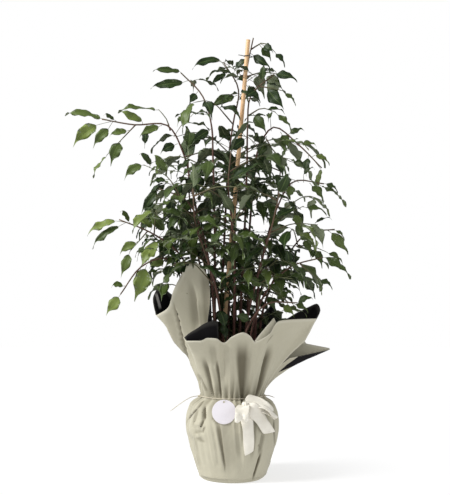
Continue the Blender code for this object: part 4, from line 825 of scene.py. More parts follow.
class Clump:
    """All that has grown so far, so that what grows next is bent clear of it."""

    def __init__(self):
        self.grown = []

    def add(self, owner, shape):
        """Remember a shape under the name of what it belongs to."""
        self.grown.append((owner, *self.bounds(shape[0]), BVHTree.FromPolygons(*shape)))

    def clear(self, shape, own=()):
        """Whether a shape crosses nothing but its own twig."""
        middle, reach = self.bounds(shape[0])
        tree = BVHTree.FromPolygons(*shape)
        return not any(
            owner not in own and (middle - other).length < reach + far and tree.overlap(grown)
            for owner, other, far, grown in self.grown
        )

    @staticmethod
    def bounds(points):
        """Middle and reach of a set of points."""
        low = Vector([min(point[i] for point in points) for i in range(3)])
        high = Vector([max(point[i] for point in points) for i in range(3)])
        return (low + high) / 2, (high - low).length / 2


def cane_line():
    """The two ends of the cane, the foot down in the soil."""
    top = place(*CANE_TOP)
    at_soil = Vector((CANE_FOOT[0], CANE_FOOT[1], SOIL_TOP)) * CM
    lean = (top - at_soil).normalized()
    return at_soil - lean * CANE_DEPTH * CM, top


def tie_line(stem):
    """The loop of the plant tie round the cane and the stem behind it."""
    foot, top = cane_line()
    height = TIE_HEIGHT * CM
    at_cane = foot.lerp(top, (height - foot.z) / (top.z - foot.z))
    at_stem = min((along(stem, step / 200) for step in range(201)), key=lambda point: abs(point.z - height))
    away = at_stem - at_cane
    away.z = 0.0
    reach = away.length
    away.normalize()
    across = away.cross(UP)
    room = (CANE_RADIUS + CLEAR * 2 + TWINE_RADIUS) * CM
    loop = []
    for step in range(TIE_POINTS):
        turn = math.tau * (step + 0.5) / TIE_POINTS
        centre = at_cane if math.cos(turn) < 0 else at_cane + away * reach
        loop.append(centre + (away * math.cos(turn) + across * math.sin(turn)) * room)
    return loop


def in_spread(point):
    """Whether a point keeps inside the outline of the plant."""
    across, up, depth = seen(point)
    left, right = between(SPREAD, up)
    in_height = SPREAD[0][0] < up < SPREAD[-1][0]
    return left < across < right and abs(depth) < between(DEEPEST, up)[0] and in_height


def stem_tube(line, margin=0.0):
    """Tapered tube of a stem along its line."""
    return tube(line, STEM_RADIUS + margin, STEM_TIP_RADIUS + margin, STEM_SIDES)


def twig_tube(line, margin=0.0):
    """Tapered tube of a twig along its line."""
    return tube(line, TWIG_RADIUS + margin, TWIG_TIP_RADIUS + margin, TWIG_SIDES)


def stem_line(spec, clump):
    """The line of a stem from its foot in the soil, kept clear of the stems before it."""
    foot = Vector((spec["foot"][0], spec["foot"][1], SOIL_TOP - STEM_DEPTH)) * CM
    collar = foot + UP * (STEM_DEPTH + STEM_COLLAR) * CM
    for shift in STEM_SHIFTS:
        path = [place(across, up, depth + shift) for across, up, depth in spec["path"]]
        line = [foot, *smooth_line([collar, *path], STEM_STEP)]
        if clump.clear(stem_tube(line, KEEP_CLEAR)):
            break
    return line


def nearest_root(lines, across, up):
    """The line and the point on a plant's lines that is seen nearest to a spot."""
    best = None
    for index, line in enumerate(lines):
        for step in range(5, 98):
            point = along(line, step / 100)
            spot = seen(point)
            far = math.hypot(spot[0] - across, spot[1] - up)
            if best is None or far < best[0]:
                best = (far, index, point)
    return best[1], best[2]


def shown_leaf(lines, row, turn_more, depth_more):
    """A leaf from a row of a table, on the nearest twig."""
    base_across, base_up, tip_across, tip_up, width, turn = row
    index, root = nearest_root(lines, base_across, base_up)
    depth = root.y / CM
    base = place(base_across, base_up, depth - 0.3)
    tip = place(tip_across, tip_up, depth - 1.0 + depth_more)
    stalk = base - root
    if stalk.length < SHORTEST_STALK * CM or stalk.angle(tip - base) > SHARPEST_STALK_TURN:
        base = root + (tip - root).normalized() * SHORTEST_STALK * CM
    axis = (tip - base).normalized()
    viewer = EYE - base
    viewer = (viewer - axis * viewer.dot(axis)).normalized()
    spin = math.radians(turn + turn_more)
    spun = [Matrix.Rotation(angle, 3, axis) @ viewer for angle in (spin, -spin)]
    return index, (root, base, tip, max(spun, key=lambda facing: facing.z), width)


def leaf_ways(line, share, rank):
    """The direction of a twig at a share of its length, and the one to which the leaf of a rank grows."""
    ahead = heading(line, share)
    return ahead, ahead if share == 1.0 else ahead.cross(UP).normalized() * (1 if rank % 2 else -1)


def ruled_leaf(root, ahead, side, draw, length):
    """A leaf that leaves a twig to one side and droops."""
    out = ahead * draw.uniform(0.3, 0.8) + side * draw.uniform(0.6, 1.0) + UP * draw.uniform(-0.5, 0.15)
    out.normalize()
    base = root + (out + UP * 0.25).normalized() * draw.uniform(0.9, 1.4) * CM
    fall = (out * draw.uniform(0.6, 1.0) - UP * draw.uniform(0.2, 0.8)).normalized()
    tip = base + fall * length * CM
    facing = (UP + out * 0.6 + Vector([draw.uniform(-0.5, 0.5) for _ in range(3)])).normalized()
    return root, base, tip, facing, length * draw.uniform(0.41, 0.52)


class Stem:
    """A stem with its twigs and leaves, each kept clear of all that has grown before."""

    def __init__(self, name, clump):
        self.name, self.clump, self.table = name, clump, STEMS[name]
        self.lines, self.owners, self.leaves = [], [], []
        line = stem_line(self.table, clump)
        self.keep_line(name, line, stem_tube(line))

    def keep_line(self, owner, line, shape):
        """Keep a line of the stem under a name of its own."""
        self.clump.add(owner, shape)
        self.lines.append(line)
        self.owners.append(owner)

    def keep_leaf(self, leaf, owner, margin=KEEP_CLEAR):
        """Keep a leaf if it is clear of all but its own line, and tell whether it was kept."""
        if not self.clump.clear(blade(leaf, margin), (owner,)):
            return False
        self.clump.add(self.name + " leaf", blade(leaf))
        self.leaves.append(leaf)
        return True

    def grow_shown(self, rows, margin=KEEP_CLEAR):
        """Add the leaves of a table."""
        for row in rows:
            for turn_more, depth_more in LEAF_SHIFTS:
                index, leaf = shown_leaf(self.lines, row, turn_more, depth_more)
                if self.keep_leaf(leaf, self.owners[index], margin):
                    break

    def grow_twigs(self):
        """Add the twigs of the stem's table."""
        for number, row in enumerate(self.table["twigs"]):
            _, root = nearest_root(self.lines[:1], row[0][0], row[0][1])
            for shift in TWIG_SHIFTS:
                path = [place(across, up, depth + shift) for across, up, depth in row[1:]]
                line = smooth_line([root, *path], TWIG_STEP)
                if self.clump.clear(twig_tube(line, KEEP_CLEAR), (self.name,)):
                    break
            self.keep_line(f"{self.name} twig {number}", line, twig_tube(line))

    def grow_sprays(self, draw):
        """Add side twigs by rule up the stem, each turned on from the last and drooping at its end."""
        stem = self.lines[0]
        count = self.table["sprays"]
        turn = draw.uniform(0, math.tau)
        top = seen(stem[-1])[1]
        for number in range(count):
            height = LOWEST_SPRAY + (top - LOWEST_SPRAY) * (number + draw.uniform(0.2, 0.8)) / count
            shares = [step / 100 for step in range(101)]
            root = along(stem, min(shares, key=lambda at: abs(seen(along(stem, at))[1] - height)))
            for attempt in range(SPRAY_TRIES):
                turn += GOLDEN_TURN
                reach = draw.uniform(*SPRAY_REACH) * SPRAY_SHORTER**attempt * CM
                out = Vector((math.cos(turn), math.sin(turn), 0.0))
                rise = draw.uniform(0.25, 0.75)
                bend = root + (out * 0.55 + UP * rise * 0.55) * reach
                end = root + (out + UP * rise * 0.45) * reach
                line = smooth_line([root, bend, end], TWIG_STEP)
                if in_spread(end) and self.clump.clear(twig_tube(line, KEEP_CLEAR), (self.name,)):
                    self.keep_line(f"{self.name} spray {number}", line, twig_tube(line))
                    break

    def grow_ruled(self, draw):
        """Add leaves by rule in two ranks along each side twig, and on the top of the stem."""
        for index, (line, owner) in enumerate(zip(self.lines, self.owners)):
            if "twig" in owner or not (index or self.table["sprays"]):
                continue
            for rank, share in enumerate(TWIG_LEAVES if index else TOP_LEAVES):
                root = along(line, min(share, LAST_ROOT))
                if any((root - leaf[0]).length < LEAF_SPACING * CM for leaf in self.leaves):
                    continue
                ahead, side = leaf_ways(line, share, rank)
                for attempt in range(RULED_TRIES):
                    length = draw.uniform(*LEAF_LENGTH) * RULED_SHORTER**attempt
                    leaf = ruled_leaf(root, ahead, side, draw, length)
                    if in_spread(leaf[2]) and self.keep_leaf(leaf, owner):
                        break

    def grow_fill(self, draw):
        """Add finer side twigs with their leaves between those that the plant already has."""
        turn = draw.uniform(0, math.tau)
        for number in range(FILL_TWIGS + LOW_FILL_TWIGS):
            low = number >= FILL_TWIGS
            root = along(self.lines[0], draw.uniform(*(LOW_FILL if low else HIGH_FILL)))
            if not low and seen(root)[1] < LOWEST_SPRAY:
                continue
            for attempt in range(FILL_TRIES):
                turn += GOLDEN_TURN
                reach = draw.uniform(*(LOW_FILL_REACH if low else FILL_REACH))
                reach = reach * FILL_SHORTER**attempt * CM
                out = Vector((math.cos(turn), math.sin(turn), draw.uniform(0.1, 0.6)))
                if low:
                    out.y = abs(out.y) + 0.3
                bend = root + (out * 0.55 + UP * 0.1) * reach
                line = smooth_line([root, bend, root + out * reach], FILL_STEP)
                shape = tube(line, FILL_RADIUS, FILL_RADIUS, TWIG_SIDES)
                inside = seen(line[-1])[0] < FILL_RIGHT and in_spread(line[-1])
                if inside and self.clump.clear(shape, (self.name,)):
                    self.keep_line(f"{self.name} {number} fill", line, shape)
                    self.grow_fill_leaves(line, draw)
                    break

    def grow_fill_leaves(self, line, draw):
        """Add leaves in two ranks along a fine twig, hanging inside the plant and level further out."""
        across, up, depth = seen(line[0])
        inner = math.hypot(across, depth) < FILL_INNER and up < FILL_INNER_TOP
        for rank, share in enumerate(FILL_LEAVES if inner else FILL_OUTER_LEAVES):
            root = along(line, min(share, LAST_ROOT))
            ahead, side = leaf_ways(line, share, rank)
            for attempt in range(FILL_TRIES):
                length = draw.uniform(*FILL_LENGTH) * FILL_LEAF_SHORTER**attempt
                out = (ahead * draw.uniform(0.3, 0.8) + side * draw.uniform(0.6, 1.0)).normalized()
                base = root + (out + UP * 0.25).normalized() * draw.uniform(0.9, 1.4) * CM
                tip = base + (out - UP * draw.uniform(*FILL_DROOP)).normalized() * length * CM
                facing = (UP * 2 + Vector([draw.uniform(-0.5, 0.5) for _ in range(3)])).normalized()
                leaf = (root, base, tip, facing, length * draw.uniform(*FILL_WIDTH))
                if inner:
                    leaf = ruled_leaf(root, ahead, side, draw, length)
                    tip = leaf[2]
                behind = seen(tip)[2] > LOW_FILL_DEPTH or seen(tip)[1] > LOWEST_SPRAY
                if behind and in_spread(tip) and self.keep_leaf(leaf, self.owners[-1], 0.0):
                    break


def grow_plant(obstacles, fine_paper):
    """Every stem with its twigs and leaves, without the fill leaves that would touch the finished paper."""
    clump = Clump()
    for name, shape in obstacles:
        clump.add(name, shape)
    clump.add("cane", tube(cane_line(), CANE_RADIUS, CANE_RADIUS, 8))
    plant = {name: Stem(name, clump) for name in STEMS}
    clump.add("plant_tie", hoop(tie_line(plant[TIED_STEM].lines[0]), TWINE_RADIUS + KEEP_CLEAR, 4))
    for stem in plant.values():
        stem.grow_twigs()
    for stem in plant.values():
        stem.grow_shown(stem.table["leaves"])
    for seed, stem in enumerate(plant.values()):
        stem.grow_sprays(random.Random(seed))
    for seed, stem in enumerate(plant.values()):
        stem.grow_ruled(random.Random(LEAF_SEED + seed))
    for name, rows in LEAVES_MORE.items():
        plant[name].grow_shown(rows, 0.0)
    for seed, stem in enumerate(plant.values()):
        kept = len(stem.leaves)
        stem.grow_fill(random.Random(FILL_SEED + seed))
        added = [leaf for leaf in stem.leaves[kept:] if fine_paper.clear(blade(leaf, PAPER_CLEAR))]
        stem.leaves[kept:] = added
    return plant


def outward_at(point):
    """The level direction away from the pot's axis at a point."""
    return Vector((point.x, point.y, 0.0)).normalized()


def paper_radius(height):
    """Radius in centimetres of the front sheet's outer face at a height on the body, on top of a pleat."""
    radius, pleat = between(BODY_ROWS, height)
    return radius + pleat + PAPER_LAYER


def on_paper(across, height, lift):
    """The point in front of the body of the paper at a place across and a height, lifted off it."""
    reach = paper_radius(height) + lift
    return Vector((across, -math.sqrt(reach * reach - across * across), height)) * CM


def twine_loop():
    """Points of the twine round the neck of the paper, over both sheets."""
    points = []
    for step in range(TWINE_POINTS):
        angle = -180 + 360 * step / TWINE_POINTS
        into = min((angle - TWINE_OVER[0]) / TWINE_CLIMB, (TWINE_OVER[1] - angle) / TWINE_CLIMB)
        radius = NECK_RADIUS + PAPER_LAYER * max(0.0, min(1.0, into)) + TWINE_RADIUS + CLEAR
        turn = math.radians(angle)
        points.append(Vector((math.sin(turn) * radius, -math.cos(turn) * radius, NECK_HEIGHT)) * CM)
    return points


def tag_frame():
    """Middle of the tag, the direction to its top and the direction that its front faces."""
    low = on_paper(TAG_ACROSS, TAG_FOOT, CLEAR + TAG_THICK)
    high = Vector((TAG_ACROSS, TAG_TOP_DEPTH, TAG_FOOT + TAG_RADIUS * 2)) * CM
    rise = (high - low).normalized()
    facing = rise.cross(Vector((-1.0, 0.0, 0.0))).normalized()
    return low + rise * TAG_RADIUS * CM, rise, facing


def thread_loop():
    """Points of the thread that goes through the tag's hole and up to the twine, which holds its top."""
    centre, rise, facing = tag_frame()
    hole = centre + rise * (TAG_RADIUS - TAG_HOLE_INSET) * CM
    flat_of_hole = TAG_HOLE * math.cos(math.pi / TAG_HOLE_SIDES)
    hang = hole + rise * (flat_of_hole - THREAD_RADIUS - CLEAR) * CM
    reach = (NECK_RADIUS + PAPER_LAYER + CLEAR * 2 + TWINE_RADIUS * 2 + THREAD_RADIUS) * CM
    far = Vector((hole.x, -math.sqrt(reach * reach - hole.x * hole.x), NECK_HEIGHT * CM))
    over = hole + rise * (TAG_HOLE_INSET + TAG_HOLE) * CM
    play = facing * THREAD_PLAY * CM
    return [
        hang + play,
        over + play,
        far + UP * THREAD_HALF * CM,
        far - UP * THREAD_HALF * CM,
        over - play * 1.4 - rise * (TAG_HOLE + 0.1) * CM,
        hang - play,
    ]


def flow(rows, at, corners=()):
    """The values of a table of rows at a place in its first column, in smooth lines with sharp corners."""
    last = len(rows) - 2
    i = min(max(sum(row[0] <= at for row in rows) - 1, 0), last)
    low, high = rows[i], rows[i + 1]
    span = high[0] - low[0]
    t = min(max((at - low[0]) / span, 0.0), 1.0)
    values = []
    for k in range(1, len(low)):
        rise = high[k] - low[k]
        start = rise if i == 0 or low[0] in corners else even_slope(rows, i, k) * span
        end = rise if i == last or high[0] in corners else even_slope(rows, i + 1, k) * span
        turn = (start + end - rise * 2) * t**3 + (rise * 3 - start * 2 - end) * t**2
        values.append(low[k] + start * t + turn)
    return values


def even_slope(rows, i, k):
    """Slope at a row of a table that never overshoots its neighbours."""
    before = (rows[i][k] - rows[i - 1][k]) / (rows[i][0] - rows[i - 1][0])
    after = (rows[i + 1][k] - rows[i][k]) / (rows[i + 1][0] - rows[i][0])
    return 2 * before * after / (before + after) if before * after > 0 else 0.0


def mesh_shape(thing):
    """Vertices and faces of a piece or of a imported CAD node."""
    mesh = thing.data
    return [vert.co.copy() for vert in mesh.vertices], [tuple(face.vertices) for face in mesh.polygons]


def piece(name, shape, finishes, stands_for=(), marks=None, layers=None):
    """A smooth piece from vertices and faces that rides on the pot and stands for its CAD solids."""
    verts, faces = shape
    mesh = bpy.data.meshes.new(name)
    mesh.from_pydata([tuple(point) for point in verts], [], faces)
    for finish in finishes:
        mesh.materials.append(finish)
    if layers is not None:
        mesh.polygons.foreach_set("material_index", layers)
    if marks is not None:
        drawn = mesh.attributes.new("marks", "FLOAT_COLOR", "POINT")
        drawn.data.foreach_set("color", np.asarray([(*mark, 1.0) for mark in marks], np.float32).ravel())
    mesh.shade_smooth()
    mesh.validate()
    made = bpy.data.objects.new(name, mesh)
    bpy.context.scene.collection.objects.link(made)
    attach(made, "root")
    if stands_for:
        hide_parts(*stands_for)
    return made


class Gather:
    """Shapes gathered into one mesh, each with its finish and its marks."""

    def __init__(self):
        self.verts, self.faces, self.layers, self.marks = [], [], [], []

    def add(self, shape, layer, marks):
        """Add a shape; layer is one number or one for each face, marks one colour or one for each vertex."""
        start = len(self.verts)
        verts, faces = shape
        self.verts += verts
        self.faces += [tuple(start + i for i in face) for face in faces]
        self.layers += [layer] * len(faces) if isinstance(layer, int) else layer
        self.marks += marks if isinstance(marks, list) else [marks] * len(verts)

    def piece(self, name, finishes, stands_for, slot):
        """The gathered mesh as one piece."""
        return piece(name, (self.verts, self.faces), finishes, stands_for, self.marks, self.layers)


# Materials


class Value:
    """A socket of a finish. Sums and products with it become Math nodes."""

    def __init__(self, finish, socket):
        self.finish, self.socket = finish, socket

    def maths(self, operation, first, second=0.0):
        return self.finish.node("ShaderNodeMath", {"operation": operation}, {0: first, 1: second})

    def __add__(self, other):
        return self.maths("ADD", self, other)

    def __radd__(self, other):
        return self.maths("ADD", other, self)

    def __sub__(self, other):
        return self.maths("SUBTRACT", self, other)

    def __rsub__(self, other):
        return self.maths("SUBTRACT", other, self)

    def __mul__(self, other):
        return self.maths("MULTIPLY", self, other)

    def __rmul__(self, other):
        return self.maths("MULTIPLY", other, self)

    def __abs__(self):
        return self.maths("ABSOLUTE", self)

    def wave(self):
        """Sine of the value."""
        return self.maths("SINE", self)

    def rise(self, low, high):
        """Smooth step of the value from low, 0, to high, 1."""
        settings = {"interpolation_type": "SMOOTHSTEP"}
        return self.finish.node("ShaderNodeMapRange", settings, {0: self, 1: low, 2: high, 3: 0.0, 4: 1.0})


class Finish:
    """A material whose colour, roughness and bump are built from its nodes."""

    def __init__(self, name, **constants):
        self.material = bpy.data.materials.new(name)
        self.material.use_nodes = True
        self.tree = self.material.node_tree
        self.shader = self.tree.nodes["Principled BSDF"]
        for socket, value in constants.items():
            self.shader.inputs[socket.replace("_", " ").title().replace("Ior", "IOR")].default_value = value

    def node(self, kind, settings, sockets, output=0):
        """Output of a new node: its settings are set first, then the values or links of its sockets."""
        made = self.tree.nodes.new(kind)
        for setting, value in settings.items():
            setattr(made, setting, value)
        for socket, value in sockets.items():
            self.feed(made.inputs[socket], value)
        return Value(self, made.outputs[output])

    def feed(self, socket, value):
        """Link a value to a socket, or set it there."""
        if isinstance(value, Value):
            self.tree.links.new(value.socket, socket)
        else:
            socket.default_value = value

    def place(self, stretch=(1.0, 1.0, 1.0)):
        """Place on the object, in metres, stretched along each axis."""
        at = self.node("ShaderNodeTexCoord", {}, {}, "Object")
        return self.node("ShaderNodeVectorMath", {"operation": "MULTIPLY"}, {0: at, 1: stretch})

    def noise(self, scale, at=None, detail=3.0, roughness=0.55):
        """Soft noise over the surface."""
        sockets = {"Vector": at or self.place(), "Scale": scale, "Detail": detail, "Roughness": roughness}
        return self.node("ShaderNodeTexNoise", {}, sockets)

    def cells(self, scale, at=None, feature="F1"):
        """Distance to the middle or the edge of random cells."""
        sockets = {"Vector": at or self.place(), "Scale": scale}
        return self.node("ShaderNodeTexVoronoi", {"feature": feature}, sockets)

    def marks(self):
        """The three marks of each point of the mesh."""
        drawn = self.node("ShaderNodeAttribute", {"attribute_name": "marks"}, {}, "Color")
        parts = self.node("ShaderNodeSeparateColor", {}, {0: drawn})
        return [Value(self, output) for output in parts.socket.node.outputs]

    def mix(self, share, first, second):
        """A colour a share of the way from the first to the second."""
        sockets = {0: share, 6: self.colour(first), 7: self.colour(second)}
        return self.node("ShaderNodeMix", {"data_type": "RGBA", "clamp_factor": True}, sockets, 2)

    @staticmethod
    def colour(value):
        """A colour with its alpha, or a socket as it is."""
        return (*value, 1.0) if isinstance(value, tuple) and len(value) == 3 else value

    def wear(self, colour, roughness, height=None, distance=0.0, strength=1.0):
        """Feed colour and roughness, and a surface raised by a height over a distance in metres."""
        self.feed(self.shader.inputs["Base Color"], colour)
        self.feed(self.shader.inputs["Roughness"], roughness)
        if height:
            sockets = {"Height": height, "Distance": distance, "Strength": strength}
            self.feed(self.shader.inputs["Normal"], self.node("ShaderNodeBump", {}, sockets))
        return self.material


class Setting(Finish):
    """The setting around the plant, whose nodes are made as those of a finish are."""

    def __init__(self, world):
        self.tree = world.node_tree


def leaf_veins(finish, rib_from, rib_to):
    """Of a blade: how far off the midrib, the midrib, the waves of the side veins, and its mark of random
    tone and painted shade.
    """
    along_blade, across_blade, chance = finish.marks()
    off_rib = abs(across_blade * 2.0 - 1.0)
    rib = 1.0 - off_rib.rise(rib_from, rib_to)
    return off_rib, rib, ((along_blade - off_rib * VEIN_SLANT) * VEINS).wave(), chance


def leaf_top():
    """Glossy dark green leaf with a pale midrib and fine side veins, painted darker near the plant's axis as
    shade and lighter far out as light.
    """
    finish = Finish("leaf_top", specular_ior_level=0.27)
    off_rib, rib, herring, chance = leaf_veins(finish, 0.03, 0.14)
    veins = herring.rise(0.8, 1.0) * (1.0 - off_rib.rise(0.7, 0.98))
    mottle = finish.noise(55.0, detail=4.0)
    deep = finish.mix(mottle, (0.003, 0.012, 0.001), (0.012, 0.032, 0.003))
    mid = finish.mix(mottle, (0.044, 0.070, 0.012), (0.080, 0.116, 0.024))
    fresh_and_lit_green = finish.mix(mottle, (0.120, 0.160, 0.030), (0.175, 0.225, 0.055))
    # Painted shade and light: the mark makes leaves near the axis deep and those far out lighter, partly at
    # random
    green = finish.mix(chance.rise(0.4, 0.85), deep, mid)
    green = finish.mix(chance.rise(0.78, 1.0), green, fresh_and_lit_green)
    green = finish.mix(veins * 0.16 + rib * 0.4, green, (0.105, 0.150, 0.045))
    rough = mottle * 0.16 + 0.36 + veins * 0.05
    height = mottle * 0.3 - veins * 0.35 - rib * 0.5
    return finish.wear(green, rough, height, 0.0005, 0.5)


def leaf_underside():
    """Matt grey-green underside with raised veins."""
    finish = Finish("leaf_underside", specular_ior_level=0.25)
    _, rib, herring, chance = leaf_veins(finish, 0.04, 0.16)
    veins = herring.rise(0.7, 1.0)
    mottle = finish.noise(70.0)
    dull = finish.mix(mottle, (0.020, 0.034, 0.010), (0.048, 0.070, 0.024))
    pale = finish.mix(mottle, (0.150, 0.180, 0.105), (0.205, 0.240, 0.150))
    # Painted shade: duller for leaves near the axis, paler for those far out, partly at random
    green = finish.mix(chance.rise(0.35, 0.85), dull, pale)
    green = finish.mix(veins * 0.25 + rib * 0.5, green, (0.22, 0.25, 0.14))
    height = veins * 0.4 + rib * 0.6 + mottle * 0.2
    return finish.wear(green, mottle * 0.12 + 0.56, height, 0.0005, 0.5)


def stem_bark():
    """Thin bark, red-brown on the old wood and green-brown on young twigs, with pale pores."""
    finish = Finish("stem_bark", specular_ior_level=0.35)
    age, _, chance = finish.marks()
    streak = finish.noise(90.0, finish.place((1.0, 1.0, 0.22)), 5.0)
    young = finish.mix(streak, (0.050, 0.058, 0.022), (0.10, 0.11, 0.045))
    old = finish.mix(streak, (0.042, 0.015, 0.011), (0.125, 0.050, 0.036))
    bark = finish.mix(age.rise(0.15, 0.6), young, old)
    pores = 1.0 - finish.cells(420.0, finish.place((1.0, 1.0, 0.6))).rise(0.12, 0.3)
    bark = finish.mix(pores * 0.45 + chance * 0.1, bark, (0.24, 0.18, 0.13))
    height = streak * 0.6 + pores * 0.5
    return finish.wear(bark, 0.82 - streak * 0.2, height, 0.0006, 0.7)


def painted_highlight_streak(finish, low, high, half):
    """Mask of a thin straight streak of painted highlight between two places given as across, up and depth.
    """
    start, end = (place(*spot).xz for spot in (low, high))
    run = end - start
    parts = finish.tree.nodes.new("ShaderNodeSeparateXYZ")
    finish.feed(parts.inputs[0], finish.place())
    over, up = Value(finish, parts.outputs[0]), Value(finish, parts.outputs[2])
    reach = run.length
    across, rise = run.x / reach, run.y / reach
    off = abs((over - start.x) * rise - (up - start.y) * across)
    at = (over - start.x) * across + (up - start.y) * rise
    inside = at.rise(0.0, reach * 0.2) * (1.0 - at.rise(reach * 0.8, reach))
    return (1.0 - off.rise(half * CM * 0.4, half * CM)) * inside


def paper_outside():
    """Sage-grey face of the wrapping paper, mottled and finely ribbed, with painted shade in its folds and
    gathers.
    """
    finish = Finish("paper_outside", specular_ior_level=0.3)
    fold, _, edge = finish.marks()
    cloud = finish.noise(14.0, detail=5.0)
    pulp = finish.noise(420.0, detail=2.0)
    grain = finish.noise(190.0, finish.place((1.0, 1.0, 0.06)), 2.0)
    sage = finish.mix(cloud, (0.360, 0.336, 0.250), (0.450, 0.424, 0.325))
    sage = finish.mix(pulp * 0.2 + grain * 0.16, sage, (0.56, 0.54, 0.44))
    # The first mark is painted shade: of the folds, of the gathers at the neck and of the turned-in parts
    sage = finish.mix(fold, sage, (0.085, 0.072, 0.042))
    sage = finish.mix(edge * 0.3, sage, (0.62, 0.60, 0.51))
    crumple = finish.cells(60.0, finish.place(), "DISTANCE_TO_EDGE")
    height = pulp * 0.25 + grain * 0.3 + crumple.rise(0.0, 0.25) * 0.35
    return finish.wear(sage, 0.62 + pulp * 0.15, height, 0.0007, 0.45)


def paper_inside():
    """Black face of the wrapping paper with a soft sheen, a pale patch near the front rim, and pale streaks
    on its creases that are painted highlights.
    """
    finish = Finish("paper_inside", specular_ior_level=0.12)
    _, pale, edge = finish.marks()
    cloud = finish.noise(24.0, detail=4.0)
    black = finish.mix(cloud, (0.0030, 0.0026, 0.0032), (0.0075, 0.0064, 0.0080))
    # The pale patch near the front rim, then the painted highlights on the creases, lighten the black
    worn = pale
    for low, high, half in PAINTED_CREASE_HIGHLIGHTS:
        worn = worn + painted_highlight_streak(finish, low, high, half)
    black = finish.mix(worn, black, (0.50, 0.48, 0.46))
    black = finish.mix(edge * 0.25, black, (0.10, 0.095, 0.085))
    height = cloud * 0.5 + finish.noise(300.0) * 0.3
    return finish.wear(black, 0.56 + cloud * 0.16, height, 0.0006, 0.5)


def satin():
    """Cream satin ribbon: fine threads across, a soft sheen, a denser woven edge and painted shade where it
    is gathered and pleated.
    """
    finish = Finish("satin", sheen_weight=0.35, sheen_roughness=0.35, specular_ior_level=0.5)
    _, across_strip, chance = finish.marks()
    edge = abs(across_strip * 2.0 - 1.0).rise(0.88, 0.97)
    threads = ((across_strip * 260.0).wave() + 1.0) * 0.5
    cloud = finish.noise(90.0)
    cream = finish.mix(cloud, (0.70, 0.66, 0.57), (0.84, 0.81, 0.73))
    cream = finish.mix(edge * 0.45, cream, (0.60, 0.55, 0.44))
    # The third mark is not chance but painted shade where the ribbon is gathered and in the valleys of the
    # knot's pleats
    cream = finish.mix(chance * 0.5, cream, (0.42, 0.38, 0.30))
    height = threads * 0.35 + edge * 0.7 + cloud * 0.3
    return finish.wear(cream, 0.34 + cloud * 0.14, height, 0.0003, 0.4)


def spun(name, dark, light, roughness):
    """Twisted fibre in two tones."""
    finish = Finish(name, sheen_weight=0.2)
    turn, _, chance = finish.marks()
    fibre = finish.noise(900.0, detail=3.0)
    ply = ((turn * math.tau * 3.0).wave() + 1.0) * 0.5
    colour = finish.mix(fibre * 0.6 + ply * 0.3 + chance * 0.1, dark, light)
    return finish.wear(colour, roughness + fibre * 0.1, fibre + ply, 0.0003, 0.6)


def card():
    """Pale card with a faint pulp and a softly worn edge."""
    finish = Finish("card", specular_ior_level=0.35)
    _, _, edge = finish.marks()
    pulp = finish.noise(700.0, detail=4.0)
    cloud = finish.noise(40.0)
    white = finish.mix(pulp * 0.5 + cloud * 0.4, (0.64, 0.61, 0.65), (0.75, 0.72, 0.76))
    white = finish.mix(edge * 0.4, white, (0.62, 0.58, 0.58))
    return finish.wear(white, 0.5 + pulp * 0.16, pulp, 0.0002, 0.35)


def bamboo():
    """Dry bamboo: long fibres, darker rings at its joints and weathered spots."""
    finish = Finish("bamboo", specular_ior_level=0.45)
    ring, cut, _ = finish.marks()
    fibre = finish.noise(260.0, finish.place((1.0, 1.0, 0.03)), 4.0)
    cloud = finish.noise(28.0, finish.place((1.0, 1.0, 0.4)), 4.0)
    tan = finish.mix(fibre * 0.6 + cloud * 0.4, (0.52, 0.30, 0.14), (0.76, 0.52, 0.29))
    tan = finish.mix(cloud.rise(0.56, 0.72) * 0.5, tan, (0.33, 0.16, 0.06))
    tan = finish.mix(ring * 0.7, tan, (0.20, 0.10, 0.045))
    tan = finish.mix(cut, tan, (0.62, 0.50, 0.33))
    height = fibre * 0.5 + cloud * 0.2
    return finish.wear(tan, 0.36 + fibre * 0.2, height, 0.0006, 0.5)


def pot_plastic():
    """Moulded black plastic with a fine grain and dusty scuffs."""
    finish = Finish("pot_plastic", specular_ior_level=0.45)
    grain = finish.noise(900.0, detail=2.0)
    scuff = finish.noise(35.0, finish.place((1.0, 1.0, 0.3)), 5.0).rise(0.52, 0.75)
    black = finish.mix(scuff * 0.5, (0.012, 0.012, 0.013), (0.055, 0.048, 0.040))
    return finish.wear(black, 0.46 + scuff * 0.25, grain, 0.0002, 0.4)


def potting_soil():
    """Dark crumbly soil with fibres."""
    finish = Finish("potting_soil", specular_ior_level=0.2)
    crumb = finish.cells(330.0)
    fibre = finish.noise(140.0, detail=6.0, roughness=0.7)
    brown = finish.mix(fibre, (0.010, 0.006, 0.004), (0.052, 0.032, 0.020))
    brown = finish.mix(crumb.rise(0.45, 0.9) * 0.5, brown, (0.09, 0.06, 0.038))
    height = fibre * 0.7 + crumb * 0.5
    return finish.wear(brown, 0.9, height, 0.002, 0.9)


def soil_bits():
    """Pale mineral grains and bark chips on the soil."""
    finish = Finish("soil_bits", specular_ior_level=0.3)
    _, _, chance = finish.marks()
    pit = finish.noise(800.0, detail=4.0)
    bit = finish.mix(chance.rise(0.45, 0.55), (0.10, 0.052, 0.028), (0.66, 0.64, 0.58))
    bit = finish.mix(pit * 0.4, bit, (0.16, 0.12, 0.09))
    return finish.wear(bit, 0.85 - pit * 0.1, pit, 0.0005, 0.8)


